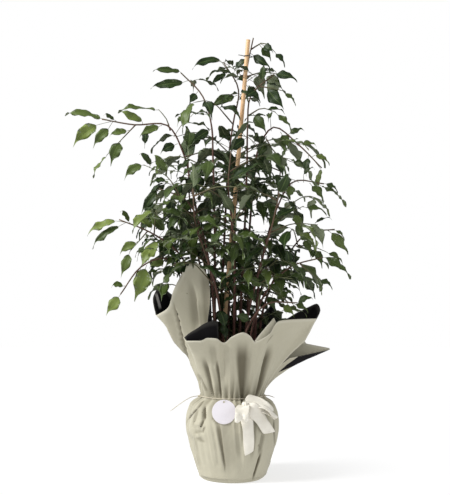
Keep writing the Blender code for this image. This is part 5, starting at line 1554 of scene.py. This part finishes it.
def glowing_floor():
    """Pale floor that glows as painted light, more away from the pot, so that it fades into the white
    setting.
    """
    finish = Finish("glowing_floor", specular_ior_level=0.1, emission_strength=1.0)
    cloud = finish.noise(0.6)
    far = finish.node("ShaderNodeVectorMath", {"operation": "LENGTH"}, {0: finish.place()}, "Value")
    fade = far.rise(*FLOOR_FADE)
    pale = finish.mix(cloud, (0.44, 0.44, 0.44), (0.47, 0.47, 0.47))
    pale = finish.mix(fade, pale, (0.0, 0.0, 0.0))
    # Glow is painted light: weaker near the pot, so its shadow stays, and full white further out
    glow = finish.mix(fade, (0.62, 0.62, 0.62), (1.0, 1.0, 1.0))
    finish.feed(finish.shader.inputs["Emission Color"], glow)
    return finish.wear(pale, 0.9 + cloud * 0.05)


# Leaves and stems


def leaf_shape(leaf, draw):
    """Blade with a folded midrib and waved edges, closed by its underside, and which face is which."""
    _, base, tip, _, width = leaf
    axis, normal, side, length = leaf_axes(leaf)
    half = width / 2 * LEAF_NARROW * CM
    # The third mark is partly random tone and partly painted shade: leaves nearer the axis get a lower mark
    # and a darker colour
    chance = draw.uniform(0.0, 0.5) + 0.5 * min(1.0, math.hypot(tip.x, tip.y) / LEAF_SHADE_REACH)
    waves = [(draw.uniform(0.3, 1.0) * LEAF_FLUTTER, draw.uniform(0, math.tau)) for _ in range(2)]
    sway = draw.uniform(-1, 1) * LEAF_SWAY
    roll = draw.uniform(0.2, 1.0) * LEAF_ROLL
    fold = BLADE_FOLD * draw.uniform(0.7, 1.8)
    verts, under, marks = [base], [base], [(0.0, 0.5, chance)]
    for share, spread in LEAF_OUTLINE:
        arch = BLADE_ARCH * 4 * share * (1 - share)
        arch += roll * math.sin(math.tau * share * LEAF_ROLLS + waves[0][1]) * share * (1 - share) * 4
        drip = max(0.0, share - LEAF_DRIP_FROM) / (1 - LEAF_DRIP_FROM)
        middle = base + axis * (length * share) + normal * (length * arch) - UP * (LEAF_DRIP * CM * drip**2)
        middle += side * (length * sway * math.sin(math.pi * share))
        wave = BLADE_WAVE * LEAF_WAVY * math.cos(math.pi * (share - BLADE_ROWS[0][0]) / LEAF_WAVE)
        for across in LEAF_COLUMNS:
            out = abs(across)
            flutter, phase = waves[across > 0]
            ripple = flutter * math.sin(phase + share * LEAF_FLUTTERS) * min(1.0, share * 4)
            edge = (ripple - wave * across) * out * out * length
            wide = half * spread * (1 + LEAF_SCALLOP * math.sin(phase * 2 + share * LEAF_FLUTTERS * 0.8))
            point = middle + side * (wide * across)
            point += normal * (half * spread * fold * out + edge - LEAF_GROOVE * CM * (out == 0))
            verts.append(point)
            keel = LEAF_THICK + LEAF_KEEL * (1 - share) * max(0.0, 1 - out * 3)
            under.append(point - normal * (keel * CM))
            marks.append((share, across * 0.5 + 0.5, chance))
    verts.append(tip - UP * LEAF_DRIP * CM)
    marks.append((1.0, 0.5, chance))
    wide = len(LEAF_COLUMNS)
    rows = len(LEAF_OUTLINE)
    last = len(verts) - 1
    lower = {}
    for row in range(rows):
        for column in range(1, wide - 1):
            index = 1 + row * wide + column
            lower[index] = len(verts)
            verts.append(under[index])
            marks.append(marks[index])
    faces = []
    for column in range(wide - 1):
        for row in range(rows - 1):
            a = 1 + row * wide + column
            b = a + wide
            faces.append((a, b, b + 1, a + 1))
        faces.append((0, 1 + column, 2 + column))
        end = 1 + (rows - 1) * wide + column
        faces.append((end, last, end + 1))
    layers = [0] * len(faces) + [1] * len(faces)
    faces += [tuple(lower.get(i, i) for i in reversed(face)) for face in faces]
    return (verts, faces), layers, marks


def grown_tube(line, first, last, sides, age, draw):
    """Stem, twig or stalk with slightly uneven joints, and its marks of age."""
    steps = len(line) - 1
    radii = [(first + (last - first) * i / steps) * draw.uniform(0.93, 1.09) * CM for i in range(steps + 1)]
    chance = draw.random()
    ages = [age[0] + (age[1] - age[0]) * i / steps for i in range(steps + 1)]
    return loft(circle_rings(line, radii, sides)), [(at, 0.0, chance) for at in ages for _ in range(sides)]


def leafy_stem(stem, finishes, seed):
    """One stem with its twigs and all its leaves, in fine bark and blades."""
    draw = random.Random(seed)
    made = Gather()
    for index, (line, owner) in enumerate(zip(stem.lines, stem.owners)):
        if index:
            fine = owner.endswith("fill")
            radii = (FILL_RADIUS, FILL_RADIUS * 0.6) if fine else (TWIG_RADIUS, TWIG_TIP_RADIUS * 0.6)
            points = smooth_line(line, BARK_STEP)
            shape, marks = grown_tube(points, *radii, ROUND_TWIG_SIDES, (0.45, 0.0), draw)
        else:
            points = [line[0], *smooth_line(line[1:], BARK_STEP)]
            radii = (STEM_RADIUS, STEM_TIP_RADIUS)
            shape, marks = grown_tube(points, *radii, ROUND_STEM_SIDES, (1.0, 0.4), draw)
        made.add(shape, 2, marks)
    for leaf in stem.leaves:
        root, base, tip, _, _ = leaf
        axis = (tip - base).normalized()
        stalk = smooth_line([root, root.lerp(base, 0.5) + UP * 0.0004, base, base + axis * 0.003], 0.3)
        radii = (STALK_RADIUS, STALK_RADIUS * 0.7)
        shape, marks = grown_tube(stalk, *radii, STALK_SIDES, (0.1, 0.0), draw)
        made.add(shape, 2, marks)
        made.add(*leaf_shape(leaf, draw))
    return made.piece(stem.name.replace("leafy_stem", "foliage"), finishes, (stem.name,), "fig")


# Wrapping paper


def gather_depth(turn, height):
    """How far the tied neck draws the paper in, in centimetres."""
    wander = turn * GATHERS + 2.2 * math.sin(turn * 5) + 0.8 * math.sin(turn * 11)
    fade = math.exp(-(((height - NECK_HEIGHT) / GATHER_REACH) ** 2))
    return GATHER_DEEP * (0.5 + 0.5 * math.cos(wander)) * fade


def fold_depth(across, up, folds):
    """Depth in centimetres and shade of the folds at a place seen on the front of the paper."""
    deepest = highest = shade = 0.0
    for first, last, half_first, half_last, deep, dark in folds:
        run_across, run_up = last[0] - first[0], last[1] - first[1]
        reach = math.hypot(run_across, run_up)
        share = ((across - first[0]) * run_across + (up - first[1]) * run_up) / reach**2
        if -FOLD_FADE < share < 1 + FOLD_FADE:
            off = abs((across - first[0]) * run_up - (up - first[1]) * run_across) / reach
            half = half_first + (half_last - half_first) * share
            near = min(1.0, max(0.0, 1 - off / half) * FOLD_FLAT)
            near *= min(1.0, (share + FOLD_FADE) * FOLD_FADE_STEEP, (1 + FOLD_FADE - share) * FOLD_FADE_STEEP)
            near *= near * (3 - near * 2)
            deepest, highest = max(deepest, deep * near), min(highest, deep * near)
            shade = max(shade, dark * near)
    return deepest + highest, shade


def sheet_pleats():
    """Which way the paper is pleated at each turn where a sheet has a column."""
    angles = sorted({row[0] for row in FRONT_RIM + BACK_RIM})
    return [(angle, 1 if i % 2 else -1) for i, angle in enumerate(angles)]


def paper_column(turn, rim, layer, lift, folds):
    """Points and painted shade of a fine column of paper, from the foot of the body up to the rim."""
    angle = math.radians(turn)
    outward = Vector((math.sin(angle), -math.cos(angle), 0.0))
    pleat = flow(sheet_pleats(), turn)[0] * PLEAT_SHARE
    rows = []
    for step in range(BODY_STEPS + 1):
        height = BODY_ROWS[-1][0] * step / BODY_STEPS
        radius, deep = flow(BODY_ROWS, height, BODY_CORNERS)
        spot = radius + layer + pleat * deep + lift * min(1.0, height / 4)
        rows.append((outward * spot + UP * height) * CM)
    neck = rows[-1]
    top = place(*rim)
    reach = (top - neck).length
    chord = (top - neck) / reach
    flare = Vector((top.x, top.y, 0.0)).normalized()
    first = neck + (chord + UP).normalized() * reach * COLLAR_LIFT
    second = top - chord.lerp(flare, COLLAR_FLARE).normalized() * reach * COLLAR_ROLL
    for step in range(1, COLLAR_FINE + 1):
        t = step / COLLAR_FINE
        s = 1 - t
        rows.append(neck * s**3 + first * 3 * s * s * t + second * 3 * s * t * t + top * t**3)
    column, marks = [], []
    for step, point in enumerate(rows):
        over_neck = (point.z / CM - NECK_HEIGHT) * (0.7 if step > BODY_STEPS else 1.0)
        in_by = gather_depth(angle, NECK_HEIGHT + over_neck)
        # Painted shade in the gathers at the neck, and below in the folds
        shade = in_by / GATHER_DEEP * 0.5 if in_by else 0.0
        if outward.y < 0.25:
            across, up, _ = seen(point)
            depth, dark = fold_depth(across, up, folds)
            facing = min(1.0, -outward.y * 2 if step <= BODY_STEPS else (0.25 - outward.y) * 4)
            depth, dark = depth * max(0.0, facing), dark * max(0.0, facing)
            in_by += depth
            shade = max(shade, dark)
        crumple = sum(noise.noise(point * many) * deep for many, deep in CRUMPLES)
        crumple *= min(1.0, point.z / CM / 2)
        column.append(point - outward * ((in_by - crumple) * CM))
        marks.append(shade)
    return column, marks


def sheet_mesh(columns, shades, round_trip, pale_turns=None, turns=()):
    """Closed thin sheet of paper through columns of points, its outer face, inner face and marks."""
    count, rows = len(columns), len(columns[0])
    inner = []
    for i, column in enumerate(columns):
        left = columns[i - 1] if round_trip or i else column
        right = columns[(i + 1) % count] if round_trip or i < count - 1 else column
        inside = []
        for j, point in enumerate(column):
            along_row = right[j] - left[j]
            upward = column[min(j + 1, rows - 1)] - column[max(j - 1, 0)]
            inside.append(point - along_row.cross(upward).normalized() * PAPER_THIN * CM)
        if round_trip:
            inside[0] = column[0] * (1 - PAPER_THIN / BODY_ROWS[0][1]) + UP * PAPER_THIN * CM
        inner.append(inside)
    verts = [point for column in columns + inner for point in column]
    back = count * rows
    faces, layers = [], []
    for i in range(count if round_trip else count - 1):
        a, b = i * rows, (i + 1) % count * rows
        for j in range(rows - 1):
            outer = (a + j, b + j, b + j + 1, a + j + 1)
            faces += [outer, tuple(back + corner for corner in reversed(outer))]
            layers += [0, 1]
        faces.append((a + rows - 1, b + rows - 1, back + b + rows - 1, back + a + rows - 1))
        layers.append(0)
        if not round_trip:
            faces.append((b, a, back + a, back + b))
            layers.append(0)
    if round_trip:
        middle = len(verts)
        verts += [Vector((0, 0, 0)), Vector((0, 0, PAPER_THIN * CM))]
        for i in range(count):
            a, b = i * rows, (i + 1) % count * rows
            faces += [(b, a, middle), (back + a, back + b, middle + 1)]
            layers += [0, 1]
    else:
        for j in range(rows - 1):
            last = (count - 1) * rows + j
            faces += [(j, j + 1, back + j + 1, back + j), (last + 1, last, back + last, back + last + 1)]
            layers += [0, 0]
    marks = []
    for i in range(count):
        for j in range(rows):
            rim = (rows - 1 - j) < 2
            side = not round_trip and min(i, count - 1 - i) < 2
            pale = 0.0
            if pale_turns and j > rows - PALE_ROWS:
                middle_turn, spread = sum(pale_turns) / 2, (pale_turns[1] - pale_turns[0]) / 2
                pale = max(0.0, 1 - abs(turns[i] - middle_turn) / spread)
            # Marks of each point: painted shade, the pale patch of the black face, and the rim and side edges
            marks.append((shades[i][j], pale, 1.0 if rim or side else 0.0))
    marks += marks
    if round_trip:
        marks += [(0.0, 0.0, 0.0)] * 2
    return (verts, faces), layers, marks


def sheet_piece(name, mesh, finishes, node):
    """A sheet of paper as a piece."""
    shape, layers, marks = mesh
    return piece(name, shape, finishes, (node,), marks, layers)


def fine_turns(low, high, step):
    """Even turns from low to high."""
    count = round((high - low) / step)
    return [low + (high - low) * i / count for i in range(count + 1)]


def paper_columns(turns, rim, corners, layer, folds):
    """Columns of paper and their shades; the front sheet's layer stands off at its two side edges."""
    columns, shades = [], []
    for turn in turns:
        near_side = min(turn - turns[0], turns[-1] - turn)
        lift = SIDE_LIFT * max(0.0, 1 - near_side / SIDE_LIFT_TURN) if layer else 0.0
        column, shade = paper_column(turn, flow(rim, turn, corners), layer, lift, folds)
        columns.append(column)
        shades.append(shade)
    return columns, shades


def make_back_sheet(finishes):
    """The back sheet under and all round the pot, its sage face outside and on the flap turned over."""
    turns = fine_turns(BACK_RIM[0][0], BACK_RIM[-1][0], BACK_STEP)[1:]
    folds = BACK_FOLDS + FRONT_FOLDS + BODY_FOLDS
    columns, shades = paper_columns(turns, BACK_RIM, BACK_CORNERS, 0.0, folds)
    shape, layers, marks = sheet_mesh(columns, shades, True)
    per_column = (len(columns[0]) - 1) * 2 + 1
    for i, turn in enumerate(turns):
        if TURNED_OVER[0] < turn < TURNED_OVER[1]:
            for face in range(i * per_column + BODY_STEPS * 2 + COLLAR_FINE, (i + 1) * per_column - 1):
                layers[face] = 1 - layers[face]
    return sheet_piece("paper_back", (shape, layers, marks), finishes, "wrap_back_sheet")


def make_front_sheet(finishes):
    """The front sheet over the back one, with the wide collar."""
    turns = fine_turns(FRONT_RIM[0][0], FRONT_RIM[-1][0], FRONT_STEP)
    folds = FRONT_FOLDS + BODY_FOLDS
    columns, shades = paper_columns(turns, FRONT_RIM, FRONT_CORNERS, PAPER_LAYER, folds)
    columns = [column[FRONT_FOOT_ROWS:] for column in columns]
    shades = [shade[FRONT_FOOT_ROWS:] for shade in shades]
    mesh = sheet_mesh(columns, shades, False, PALE_TURNS, turns)
    return sheet_piece("paper_front", mesh, finishes, "wrap_front_sheet")


def turned_in(name, edges, finishes):
    """A part of the front sheet that is folded over at the rim, between its two edges."""
    steps = [j / TURNED_STEPS for j in range(TURNED_STEPS + 1)]
    bulge = Vector((0.0, -TURNED_BULGE * CM, 0.0))
    bulges = [bulge * math.sin(math.pi * j / TURNED_STEPS) for j in range(TURNED_STEPS + 1)]
    upper, lower = ([(index, *edge[side]) for index, edge in enumerate(edges)] for side in (0, 1))
    columns, shades = [], []
    for share in fine_turns(0.0, 1.0, 1 / (4 * len(edges))):
        at = share * (len(edges) - 1)
        low, high = place(*flow(lower, at)), place(*flow(upper, at))
        columns.append([low.lerp(high, step) + out for step, out in zip(steps, bulges)])
        shades.append([TURNED_SHADE * (1 - step) for step in steps])
    return sheet_piece(name, sheet_mesh(columns, shades, False), finishes, "wrap_front_sheet")


# Pot, soil and cane


def make_pot(finish):
    """Nursery pot with ribs, a rolled lip and a foot ring."""
    foot, top = POT_FOOT, POT_FOOT + POT_HEIGHT
    wall_top = POT_RIM_RADIUS - POT_LIP_STEP
    lip = top - POT_LIP_HEIGHT
    slope = (wall_top - POT_BASE_RADIUS) / (lip - foot)
    profile = [(0.02, foot), (POT_BASE_RADIUS - 0.5, foot), (POT_BASE_RADIUS - 0.1, foot)]
    profile.append((POT_BASE_RADIUS, foot + 0.1))
    for step in range(1, POT_ROWS):
        height = foot + 0.1 + (lip - foot - 0.2) * step / POT_ROWS
        rib = POT_RIB * max(0.0, math.cos(height * 2.2)) ** 6
        profile.append((POT_BASE_RADIUS + slope * (height - foot) - POT_RIB + rib, height))
    profile += [(wall_top, lip - 0.02), (POT_RIM_RADIUS - 0.05, lip), (POT_RIM_RADIUS, lip + 0.08)]
    profile += [(POT_RIM_RADIUS, top - 0.12), (POT_RIM_RADIUS - 0.06, top - 0.03)]
    profile += [(POT_RIM_RADIUS - 0.15, top), (wall_top - 0.05, top - 0.03)]
    profile += [(wall_top - POT_WALL, top - 0.12), (wall_top - POT_WALL, lip)]
    profile += [(POT_BASE_RADIUS - POT_WALL, foot + POT_WALL), (0.02, foot + POT_WALL)]
    turns = round_turns(POT_SIDES)
    rings = [[round_pot(turn, radius, height) for turn in turns] for radius, height in profile]
    piece("pot", loft(rings), [finish], ("nursery_pot",))


def make_soil(finish, bits_finish):
    """Crumbly soil with mineral grains and bark chips on top."""
    slope = (POT_RIM_RADIUS - POT_LIP_STEP - POT_BASE_RADIUS) / (POT_HEIGHT - POT_LIP_HEIGHT)
    inside = POT_FOOT + POT_WALL
    foot = inside + CLEAR
    room = POT_BASE_RADIUS - POT_WALL - CLEAR * 1.5
    edge = room + slope * (SOIL_TOP - inside)
    rows = [(0.02, foot), (room + slope * (foot - inside), foot)]
    rows += [(edge * (1 - i / SOIL_RINGS) + 0.02, SOIL_TOP) for i in range(SOIL_RINGS + 1)]
    rings = []
    for number, (radius, height) in enumerate(rows):
        ring = [round_pot(turn, radius, height) for turn in round_turns(SOIL_SIDES)]
        for point in ring if number > 2 else ():
            rough = noise.noise(point * 90) * 0.16 + noise.noise(point * 260) * 0.1 - 0.1
            point.z += rough * CM
        rings.append(ring)
    piece("soil_bed", loft(rings), [finish], ("soil",))
    draw = random.Random(7)
    bits = Gather()
    for number in range(SOIL_GRAINS):
        turn, reach = draw.uniform(0, math.tau), math.sqrt(draw.random()) * (edge - 0.4)
        chip = number % 3 == 0
        size = draw.uniform(*(CHIP_SIZE if chip else GRAIN_SIZE))
        middle = round_pot(turn, reach, SOIL_TOP - 0.02 + size * 0.1)
        shape = lump(middle, size * CM, (1.0, draw.uniform(0.5, 1.0), 0.35 if chip else 0.8), draw)
        bits.add(shape, 0, (0.0, 0.0, 0.0 if chip else 1.0))
    bits.piece("soil_grains", [bits_finish], ("soil",), "soil")


def lump(middle, size, stretch, draw):
    """Small uneven grain with a flattish form."""
    spin = Matrix.Rotation(draw.uniform(0, math.tau), 3, "Z")
    spin = spin @ Matrix.Rotation(draw.uniform(-0.4, 0.4), 3, "X")
    rings = []
    for row in range(1, GRAIN_ROWS):
        tilt = math.pi * row / GRAIN_ROWS
        ring = []
        for turn in round_turns(GRAIN_SIDES):
            reach = size / 2 * draw.uniform(0.82, 1.12)
            spot = Vector((math.sin(tilt) * math.cos(turn), math.sin(tilt) * math.sin(turn), math.cos(tilt)))
            ring.append(middle + spin @ Vector([a * b for a, b in zip(spot * reach, stretch)]))
        rings.append(ring)
    return loft(rings)


def make_cane(finish):
    """Bamboo cane with swollen joints and a hollow cut top."""
    foot, top = cane_line()
    run = top - foot
    reach = run.length / CM
    joints = [CANE_JOINT_FIRST + i * CANE_JOINT_STEP for i in range(CANE_JOINTS)]
    points, radii, marks = [], [], []
    for step in range(CANE_STEPS + 1):
        at = reach * step / CANE_STEPS
        near = min(abs(at - joint) for joint in joints)
        swell = max(0.0, 1 - near / CANE_SWELL) ** 2
        radius = CANE_RADIUS * (0.93 + 0.07 * swell - 0.04 * step / CANE_STEPS)
        points.append(foot.lerp(top, step / CANE_STEPS))
        radii.append(radius * CM)
        marks += [(swell, 0.0, 0.0)] * CANE_SIDES
    rings = circle_rings(points, radii, CANE_SIDES)
    lean = run.normalized()
    for share, sink, cut in ((0.72, 0.0, 1.0), (0.66, 0.12, 0.7), (0.6, 0.8, 0.4)):
        centre = top - lean * sink * CM
        rings.append([centre + (point - top) * share for point in rings[CANE_STEPS]])
        marks += [(0.0, cut, 0.0)] * CANE_SIDES
    piece("bamboo_cane", loft(rings), [finish], ("cane",), marks)


# Twine, tie, thread, tag and bow


def plies(points, radius, strands, pitch, sides, round_trip, draw):
    """Strands twisted round each other along a line, with the marks of their turns."""
    made = Gather()
    lay = radius * 0.52
    reach = 0.0
    lengths = [0.0]
    for a, b in zip(points, points[1:]):
        reach += (b - a).length / CM
        lengths.append(reach)
    turns = max(1, round(reach / pitch)) if round_trip else reach / pitch
    frames = circle_rings(points, [1.0] * len(points), 4, round_trip)
    for strand in range(strands):
        line = []
        for point, ring, length in zip(points, frames, lengths):
            turn = math.tau * (length / reach * turns + strand / strands)
            across, over = ring[0] - point, ring[1] - point
            line.append(point + (across * math.cos(turn) + over * math.sin(turn)) * lay * CM)
        rings = circle_rings(line, [radius * 0.56 * CM] * len(line), sides, round_trip)
        shape = loft([*rings, rings[0]] if round_trip else rings, not round_trip)
        chance = draw.random()
        marks = [(side / sides, 0.0, chance) for _ in shape[0][::sides] for side in range(sides)]
        made.add(shape, 0, marks)
    return made


def make_twine(finish):
    """Twisted twine round the neck of the paper, knotted at each end that leaves it."""
    draw = random.Random(11)
    points = twine_loop()
    made = plies(closed_curve(points, 5), TWINE_RADIUS, 3, 0.55, 6, True, draw)
    for start, line in TWINE_ENDS:
        path = smooth_line([points[start], *(Vector(point) * CM for point in line)], 0.12)
        end = plies(path, TWINE_RADIUS * 0.9, 3, 0.6, 6, False, draw)
        made.add((end.verts, end.faces), 0, end.marks)
        for _ in range(TWINE_HAIRS):
            away = Vector([draw.uniform(-0.5, 0.5) for _ in range(3)])
            run = (path[-1] - path[-3]).normalized()
            tip = path[-1] + (run + away * 0.6).normalized() * draw.uniform(0.3, 0.6) * CM
            hair = tube([path[-1] - run * 0.001, path[-1].lerp(tip, 0.5), tip], 0.018, 0.006, 4)
            made.add(hair, 0, (0.3, 0.0, draw.random()))
        ring = circle_rings([path[2], path[4]], [TWINE_RADIUS * 1.5 * CM] * 2, 14)
        for coil in ring:
            made.add(hoop(coil, TWINE_RADIUS * 0.8, 6), 0, (0.6, 0.0, 0.4))
    made.piece("neck_twine", [finish], ("tie_twine",), "twine")


def make_thread(finish):
    """Fine thread through the tag's hole."""
    corners = thread_loop()
    line = []
    for i, corner in enumerate(corners):
        before, after = corners[i - 1], corners[(i + 1) % len(corners)]
        cut = min(0.2 * CM, (before - corner).length * 0.4, (after - corner).length * 0.4)
        first = corner + (before - corner).normalized() * cut
        last = corner + (after - corner).normalized() * cut
        line += [first, (first + corner * 2 + last) / 4, last]
    made = plies(closed_curve(line, 4), THREAD_RADIUS, 2, 0.3, 5, True, random.Random(5))
    made.piece("hanging_thread", [finish], ("tag_thread",), "twine")


def make_tie(stem, finish):
    """Soft dark tie round the cane and the tallest stem."""
    loop = tie_line(stem)
    line = closed_curve(loop, 4)
    rings = circle_rings(line, [TWINE_RADIUS * CM] * len(line), 10, True)
    made = Gather()
    made.add(loft([*rings, rings[0]], False), 0, (0.2, 0.0, 0.3))
    left = min(loop, key=lambda point: point.x)
    run = Vector(TIE_END) * CM
    end = smooth_line([left, left + run * 0.5 + UP * 0.0004, left + run], 0.1)
    made.add(tube(end, TWINE_RADIUS, TWINE_RADIUS * 0.85, 10), 0, (0.2, 0.0, 0.6))
    made.piece("cane_tie", [finish], ("plant_tie",), "tie")


def make_tag(finish):
    """Round bare card with a soft edge and a punched hole."""
    centre, rise, facing = tag_frame()
    across = rise.cross(facing).normalized()
    hole = centre + rise * (TAG_RADIUS - TAG_HOLE_INSET) * CM
    thick = TAG_THICK * CM / 2
    shares = (0.1, 0.3, 0.5, 0.7, 0.85)
    rows = [(0.0, -0.5, 1.0), (0.0, 0.5, 1.0), (0.006, 0.85, 1.0), (0.02, 1.0, 0.6)]
    rows += [(share, 1.0, 0.0) for share in shares]
    rows += [(0.97, 1.0, 0.3), (1.0, 0.8, 1.0), (1.0, -0.8, 1.0), (0.97, -1.0, 0.3)]
    rows += [(share, -1.0, 0.0) for share in reversed(shares)]
    rows += [(0.02, -1.0, 0.6), (0.006, -0.85, 1.0)]
    rings, marks = [], []
    for share, level, edge in rows:
        ring = []
        for turn in round_turns(TAG_SIDES):
            way = across * math.cos(turn) + rise * math.sin(turn)
            outer, inner = centre + way * TAG_RADIUS * CM, hole + way * TAG_HOLE * CM
            ring.append(outer.lerp(inner, share) + facing * thick * level)
        rings.append(ring)
        marks += [(0.0, 0.0, edge)] * TAG_SIDES
    marks += marks[:TAG_SIDES]
    piece("bare_tag", loft([*rings, rings[0]], False), [finish], ("tag",), marks)


def ribbon_strip(points, sides_of, widths, aheads, puckers, closed, shifts):
    """Thin ribbon, cupped and puckered where it is gathered, and its marks, the third being painted shade
    where it is gathered.
    """
    rings, marks = [], []
    count = len(RIBBON_COLUMNS)
    for i, (point, side, wide, ahead) in enumerate(zip(points, sides_of, widths, aheads)):
        curl = RIBBON_CURL * math.sin(i * 0.32 + wide) * (1 - puckers[i] * 0.5)
        side = (side + side.cross(ahead) * curl).normalized()
        over = side.cross(ahead).normalized()
        top, low = [], []
        for across in RIBBON_COLUMNS:
            pucker = math.cos(across * math.pi * 2.6) * puckers[i] * 0.12 + (1 - across * across) * RIBBON_CUP
            pucker += 0.03 * math.sin(across * 4.0 + i * 0.45)
            spot = point + side * (wide / 2 * across * CM) + over * (pucker * CM)
            spot += shifts[i] * (1 - abs(abs(across) * 2 - 1) if closed else across)
            top.append(spot + over * RIBBON_FINE * CM / 2)
            low.append(spot - over * RIBBON_FINE * CM / 2)
        rings.append(top + low[::-1])
        # Third mark: painted shade where the ribbon is gathered
        colour = [(i / len(points), across * 0.5 + 0.5, puckers[i] * 0.6) for across in RIBBON_COLUMNS]
        marks += colour + colour[::-1]
    if closed:
        return loft([*rings, rings[0]], False), marks + marks[: 2 * count]
    return loft(rings), marks


def make_bow(finish):
    """Satin bow: a puffy knot, two loops and two tails with slanted ends."""
    made = Gather()
    knot = on_paper(*BOW_KNOT)
    for wide, share, table in BOW_LOOPS:
        points = closed_curve([on_paper(*spot) for spot in table], 8)
        count = len(points)
        middle = sum(points, Vector()) / count
        out = outward_at(middle)
        lean = (UP.cross(out) * share[0] + UP * share[1] + out * share[2]).normalized()
        aheads = [(points[(i + 1) % count] - points[i - 1]).normalized() for i in range(count)]
        far = [min(i, count - i) / 8 for i in range(count)]
        gathered = [max(0.0, 1 - share) ** 1.5 for share in far]
        shifts = [(point - knot) * LOOP_LOBE * (1 - share) for point, share in zip(points, gathered)]
        widths = [wide * LOOP_FULL * (1 - (1 - BOW_PINCH) * share) for share in gathered]
        shape, marks = ribbon_strip(points, [lean] * count, widths, aheads, gathered, True, shifts)
        made.add(shape, 0, marks)
    for wide, slant, table in BOW_TAILS:
        points = smooth_line([on_paper(*spot) for spot in table], 0.3)
        count = len(points)
        aheads = [(b - a).normalized() for a, b in zip([points[0], *points], [*points[1:], points[-1]])]
        sides_of = [ahead.cross(outward_at(point)).normalized() for point, ahead in zip(points, aheads)]
        gathered = [max(0.0, 1 - i * 0.3 / 1.8) ** 1.3 for i in range(count)]
        widths = [wide * (1 - (1 - BOW_PINCH) * share) for share in gathered]
        widths = [width * (1 - TAIL_TAPER * i / count) for i, width in enumerate(widths)]
        cuts = [max(0.0, 1 - (count - 1 - i) / TAIL_CUT_ROWS) * slant / 2 for i in range(count)]
        shifts = [ahead * width * cut * CM for ahead, width, cut in zip(aheads, widths, cuts)]
        shape, marks = ribbon_strip(points, sides_of, widths, aheads, gathered, False, shifts)
        made.add(shape, 0, marks)
    out = outward_at(knot)
    across = out.cross(UP).normalized()
    rings, marks = [], []
    for row in range(KNOT_ROWS + 1):
        share = row / KNOT_ROWS
        height = (share - 0.5) * 2 * BOW_KNOT_HALF * 1.1
        bulge = BOW_KNOT_RADIUS * (0.55 + 0.45 * math.sin(math.pi * share) ** 0.6)
        ring = []
        for turn in round_turns(KNOT_SIDES):
            pleat = 1 + 0.07 * math.cos(turn * KNOT_PLEATS + share * 2.5) + 0.03 * math.cos(turn * 13)
            way = (across * math.cos(turn) + out * math.sin(turn)) * bulge * pleat
            ring.append(knot + (way + UP * height) * CM)
            # Third mark: painted shade in the valleys of the pleats
            marks.append((share, 0.5, 0.3 - 0.3 * math.cos(turn * KNOT_PLEATS + share * 2.5)))
        rings.append(ring)
    made.add(loft(rings), 0, marks)
    made.piece("satin_bow", [finish], ("ribbon_bow",), "satin")


# Setting, camera and light


def make_floor(finish):
    """Wide pale floor under the pot."""
    work = bmesh.new()
    bmesh.ops.create_grid(work, x_segments=24, y_segments=24, size=FLOOR_HALF)
    mesh = bpy.data.meshes.new("floor")
    work.to_mesh(mesh)
    work.free()
    mesh.materials.append(finish)
    floor = bpy.data.objects.new("floor", mesh)
    bpy.context.scene.collection.objects.link(floor)


def soft_light(name, spot, aim, size, power):
    """Large soft area light."""
    lamp = bpy.data.lights.new(name, "AREA")
    lamp.shape, lamp.size, lamp.energy = "DISK", size, power
    made = bpy.data.objects.new(name, lamp)
    made.location = spot
    made.rotation_euler = (Vector(aim) - Vector(spot)).to_track_quat("-Z", "Y").to_euler()
    bpy.context.scene.collection.objects.link(made)


def make_studio():
    """Camera at the photograph's height and angle, soft light from the upper left, and a pale world."""
    lens = bpy.data.cameras.new("eye")
    lens.lens, lens.sensor_width, lens.clip_start = LENS, SENSOR, 0.01
    camera = bpy.data.objects.new("eye", lens)
    camera.location = EYE
    camera.rotation_euler = (math.pi / 2, 0.0, 0.0)
    bpy.context.scene.collection.objects.link(camera)
    bpy.context.scene.camera = camera
    for light in LIGHTS:
        soft_light(*light)
    world = bpy.data.worlds.new("studio")
    world.use_nodes = True
    setting = Setting(world)
    lit, shown = (
        setting.node("ShaderNodeBackground", {}, {"Color": (1.0, 1.0, 1.0, 1.0), "Strength": strength})
        for strength in (WORLD_LIGHT, WORLD_SHOWN)
    )
    looked_at = setting.node("ShaderNodeLightPath", {}, {}, "Is Camera Ray")
    both = setting.node("ShaderNodeMixShader", {}, {0: looked_at, 1: lit, 2: shown})
    setting.feed(setting.tree.nodes["World Output"].inputs["Surface"], both)
    bpy.context.scene.world = world
    bpy.context.scene.view_settings.view_transform = "Standard"


def build():
    """Every piece of the potted fig."""
    make_studio()
    make_floor(glowing_floor())
    paper = [paper_outside(), paper_inside()]
    back, front = make_back_sheet(paper), make_front_sheet(paper)
    flap = turned_in("paper_turned_flap", TURNED_FLAP[::-1], paper)
    edge = turned_in("paper_turned_edge", TURNED_EDGE, paper)
    fine_paper = Clump()
    for sheet in (back, front, flap, edge):
        fine_paper.add(sheet.name, mesh_shape(sheet))
    obstacles = [(node, mesh_shape(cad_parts[node])) for node in ("wrap_back_sheet", "wrap_front_sheet")]
    plant = grow_plant(obstacles, fine_paper)
    finishes = [leaf_top(), leaf_underside(), stem_bark()]
    for seed, stem in enumerate(plant.values()):
        leafy_stem(stem, finishes, seed)
    make_pot(pot_plastic())
    make_soil(potting_soil(), soil_bits())
    make_cane(bamboo())
    make_twine(spun("twine", (0.42, 0.36, 0.25), (0.78, 0.72, 0.58), 0.75))
    make_thread(spun("thread", (0.62, 0.58, 0.5), (0.85, 0.82, 0.74), 0.6))
    dark_fibre = spun("plant_tie_fibre", (0.012, 0.014, 0.012), (0.04, 0.05, 0.04), 0.55)
    make_tie(plant[TIED_STEM].lines[0], dark_fibre)
    make_tag(card())
    make_bow(satin())


build()
